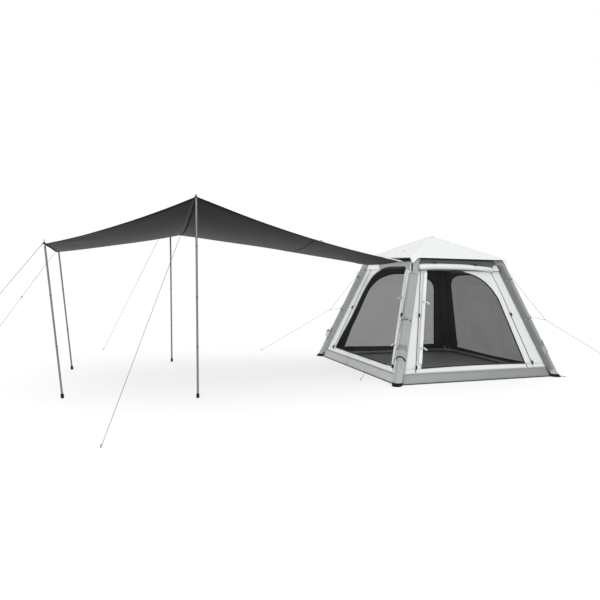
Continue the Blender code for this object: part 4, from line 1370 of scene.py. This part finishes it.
# Straps from the canopy to the beams
for tag, sy in (("front", -1), ("back", 1)):
    a = Vector((AW_TENT[0] - 0.004, sy * (AW_TENT[1] - 0.002), AW_TENT[2] + 0.004))
    b = Vector((-0.8640, sy * 0.795, 1.700))
    p = Piece("awning_strap_webbing_" + tag, "white_web", "black_plastic")
    pts = [a.lerp(b, k / 10) + Vector((0, 0, -0.004 * math.sin(math.pi * k / 10))) for k in range(11)]
    p.band(pts, Vector((0, 0, 1)), 0.020, 0.0022)
    m = a.lerp(b, 0.45)
    d = (b - a).normalized()
    p.band([m - d * 0.016 + Vector((0, 0, 0.001)), m + d * 0.016 + Vector((0, 0, 0.001))],
           Vector((0, 0, 1)), 0.026, 0.007, 1)
    p.build(["awning_strap_" + tag])


# Poles: the steel stays, with joints, a rubber foot and a knob added
for tag, sy in (("front", -1), ("back", 1)):
    for kind, x0, top, r, joints in (("ridge", RIDGE_POLE_X, AW_RIDGE, RIDGE_POLE_R, (0.62, 1.22, 1.82)),
                                     ("end", END_POLE_X, AW_END, END_POLE_R, (0.62, 1.22))):
        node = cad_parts["%s_pole_%s" % (kind, tag)]
        node.data.materials.clear()
        node.data.materials.append(M["steel"])
        base, head = Vector((x0, sy * top[1], 0)), Vector((top[0], sy * top[1], top[2]))
        turn = (head - base).to_track_quat("Z", "Y").to_matrix().to_4x4()
        lift = 0.0175 * abs(head.x - base.x) / (head - base).length
        m = Matrix.Translation(base + Vector((0, 0, lift))) @ turn
        length = (head - base).length
        p = Piece("%s_pole_fittings_%s" % (kind, tag), "dark_steel", "rubber")
        for h in joints:
            p.lathe([(r, h - 0.010), (r + 0.0012, h - 0.009), (r + 0.0012, h + 0.006),
                     (r, h + 0.009)], m, 18, 0)
        p.lathe([(0.0, 0.0002), (0.0150, 0.0002), (0.0180, 0.004), (0.0182, 0.046), (0.0178, 0.0525),
                 (r + 0.0006, 0.0545)], m, 20, 1)
        # A knob closes over the grommet, a black cap over the pin.
        p.lathe([(0.0041, length + 0.0040), (0.0130, length + 0.0045), (0.0150, length + 0.0075),
                 (0.0125, length + 0.0125), (0.0062, length + 0.0135), (0.0058, length + 0.0160),
                 (0.0041, length + 0.0165)], m, 16, 1)
        p.build()


# Guy lines, pegs, tensioners
def peg(p, foot, towards, mat):
    """A steel peg pushed in at a slant; only its hooked head stands out."""
    d = Vector((towards.x, towards.y, 0)).normalized()
    p.tube([foot + d * 0.004 + Vector((0, 0, 0.0)), foot - d * 0.004 + Vector((0, 0, 0.022)),
            foot - d * 0.002 + Vector((0, 0, 0.029)), foot + d * 0.010 + Vector((0, 0, 0.031)),
            foot + d * 0.018 + Vector((0, 0, 0.024))], 0.003, 8, mat)


for tag, sy in (("front", -1), ("back", 1)):
    for kind, (x, w, z), pg in (("ridge", AW_RIDGE, RIDGE_PEG), ("end", AW_END, END_PEG)):
        out = Vector((pg[0] - x, pg[1] - w, 0)).normalized() * (PIN_R + CORD_R + 0.0012)
        a = Vector((x + out.x, sy * (w + out.y), z + 0.024))
        b = Vector((pg[0], sy * pg[1], CORD_R))
        p = Piece("awning_guy_cord_%s_%s" % (kind, tag), "cord", "black_plastic", "dark_steel")
        p.tube([a.lerp(b, k / 24) for k in range(25)], CORD_R, 8)
        pin = Vector((x, sy * w, z + 0.024))
        p.tube([pin + Vector((0.0068 * math.cos(t), 0.0068 * math.sin(t), 0.001 * math.sin(t * 2)))
                for t in (2 * math.pi * k / 16 for k in range(16))], 0.0020, 6, closed=True)
        d = (b - a).normalized()
        if kind == "end":
            slide = a.lerp(b, 0.405)
            p.band([slide - d * 0.022, slide, slide + d * 0.022], d.orthogonal(), 0.016, 0.006, 1)
            p.tube([a.lerp(b, t) for t in (0.002, 0.012, 0.024)], 0.0048, 8, 1, [0.8, 1.0, 0.7])
        peg(p, b - Vector((0, 0, CORD_R)), -d, 2)
        p.build(["awning_guy_%s_%s" % (kind, tag)])

for name in ("front_right", "back_left", "back_right"):
    flip = Vector((*CORNERS[name], 1))
    ring_at_ = Vector((CORNER_RING[0], CORNER_RING[0], CORNER_RING[1])) * flip
    foot = Vector((CORNER_PEG, CORNER_PEG, CORD_R)) * flip
    outward = Vector((1, 1, 0)).normalized()
    outward = (outward - LEG * outward.dot(LEG)).normalized()
    p = Piece("corner_guy_cord_" + name, "cord", "dark_steel")
    p.tube([ring_at_.lerp(foot, k / 12) for k in range(13)], CORD_R, 8)
    for z in CORNER_TIES:
        tie = Vector((FOOT - LEAN * z, FOOT - LEAN * z, z)) + outward * (BEAM_R + CORD_R + 0.001)
        p.tube([ring_at_.lerp(tie * flip, k / 8) for k in range(9)], CORD_R, 8)
    d = (foot - ring_at_).normalized()
    up = Vector((0, 0, 1))
    p.tube([ring_at_ + d * (0.0085 * math.cos(t)) + up * (0.0085 * math.sin(t))
            for t in (2 * math.pi * k / 18 for k in range(18))], 0.0018, 8, 1, closed=True)
    peg(p, foot - Vector((0, 0, CORD_R)), -d, 1)
    p.build(["corner_guy_" + name])

# Peg loops at the skirt and at two feet
p = Piece("ground_peg_loops", "cord", "black_web", "dark_steel", "white_web")
a, b = Vector((-1.3835, -0.405, 0.006)), Vector((-1.700, -0.900, CORD_R))
p.tube([a.lerp(b, k / 8) for k in range(9)], CORD_R, 8)
peg(p, b - Vector((0, 0, CORD_R)), a - b, 2)
for sy in (-1, 1):
    a, b = Vector((1.455, sy * 1.420, 0.010)), Vector((1.520, sy * 1.470, 0.003))
    p.band([a.lerp(b, k / 4) for k in range(5)], Vector((0, 0, 1)), 0.030, 0.0040, 1)
a, b = Vector((-1.392, 1.270, 0.010)), Vector((-1.420, 1.215, 0.003))
p.band([a.lerp(b, k / 4) for k in range(5)], Vector((0, 0, 1)), 0.020, 0.0025, 3)
p.build()

# Floor of the studio
bpy.ops.mesh.primitive_plane_add(size=120, location=(0, 0, 0))
ground = bpy.context.object
ground.name = "studio_floor"
g = Nodes("studio_floor_paint", 0.9, 0.1)
g.colour(g.ramp(g.noise(0.4, 2), [(0.3, (0.44, 0.44, 0.44)), (0.7, (0.46, 0.46, 0.46))]))
g.bsdf.inputs["Emission Color"].default_value = (1, 1, 1, 1)
g.bsdf.inputs["Emission Strength"].default_value = 0.56
g.normal(g.bump(g.noise(60, 2), 0.05, 0.0005))
ground.data.materials.append(g.mat)

# Light
scene = bpy.context.scene
scene.view_settings.view_transform = "Standard"
scene.view_settings.look = "None"
world = bpy.data.worlds.new("studio")
scene.world = world
world.use_nodes = True
world.node_tree.nodes["Background"].inputs[0].default_value = (1, 1, 1, 1)
world.node_tree.nodes["Background"].inputs[1].default_value = 1.0


def area_light(name, size, energy, place, aim):
    light = bpy.data.lights.new(name, "AREA")
    light.shape, light.size, light.size_y, light.energy = "RECTANGLE", size[0], size[1], energy
    obj = bpy.data.objects.new(name, light)
    scene.collection.objects.link(obj)
    obj.location = place
    obj.rotation_euler = (Vector(aim) - Vector(place)).to_track_quat("-Z", "Y").to_euler()
    return obj


area_light("top_softbox", (9, 7), 30, (-3.0, -1.0, 7.5), (-2.6, 0, 0))
area_light("front_softbox", (4, 4), 150, (-6.5, -9.0, 4.5), (-0.3, 0, 1.0))

# Camera at the photograph's place
yaw, pitch, roll = -0.346, -0.050, 0.018
ahead = Vector((-math.sin(yaw) * math.cos(pitch), math.cos(yaw) * math.cos(pitch), math.sin(pitch)))
right = ahead.cross(Vector((0, 0, 1))).normalized()
over = right.cross(ahead)
right, over = (right * math.cos(roll) + over * math.sin(roll),
               over * math.cos(roll) - right * math.sin(roll))
camera = bpy.data.objects.new("photo_camera", bpy.data.cameras.new("photo_camera"))
scene.collection.objects.link(camera)
camera.data.lens, camera.data.sensor_width = 32.4, 36
camera.data.clip_end = 300
camera.matrix_world = Matrix((
    (right.x, over.x, -ahead.x, -5.141), (right.y, over.y, -ahead.y, -7.826),
    (right.z, over.z, -ahead.z, 1.5235), (0, 0, 0, 1)))
scene.camera = camera

bpy.context.view_layer.update()
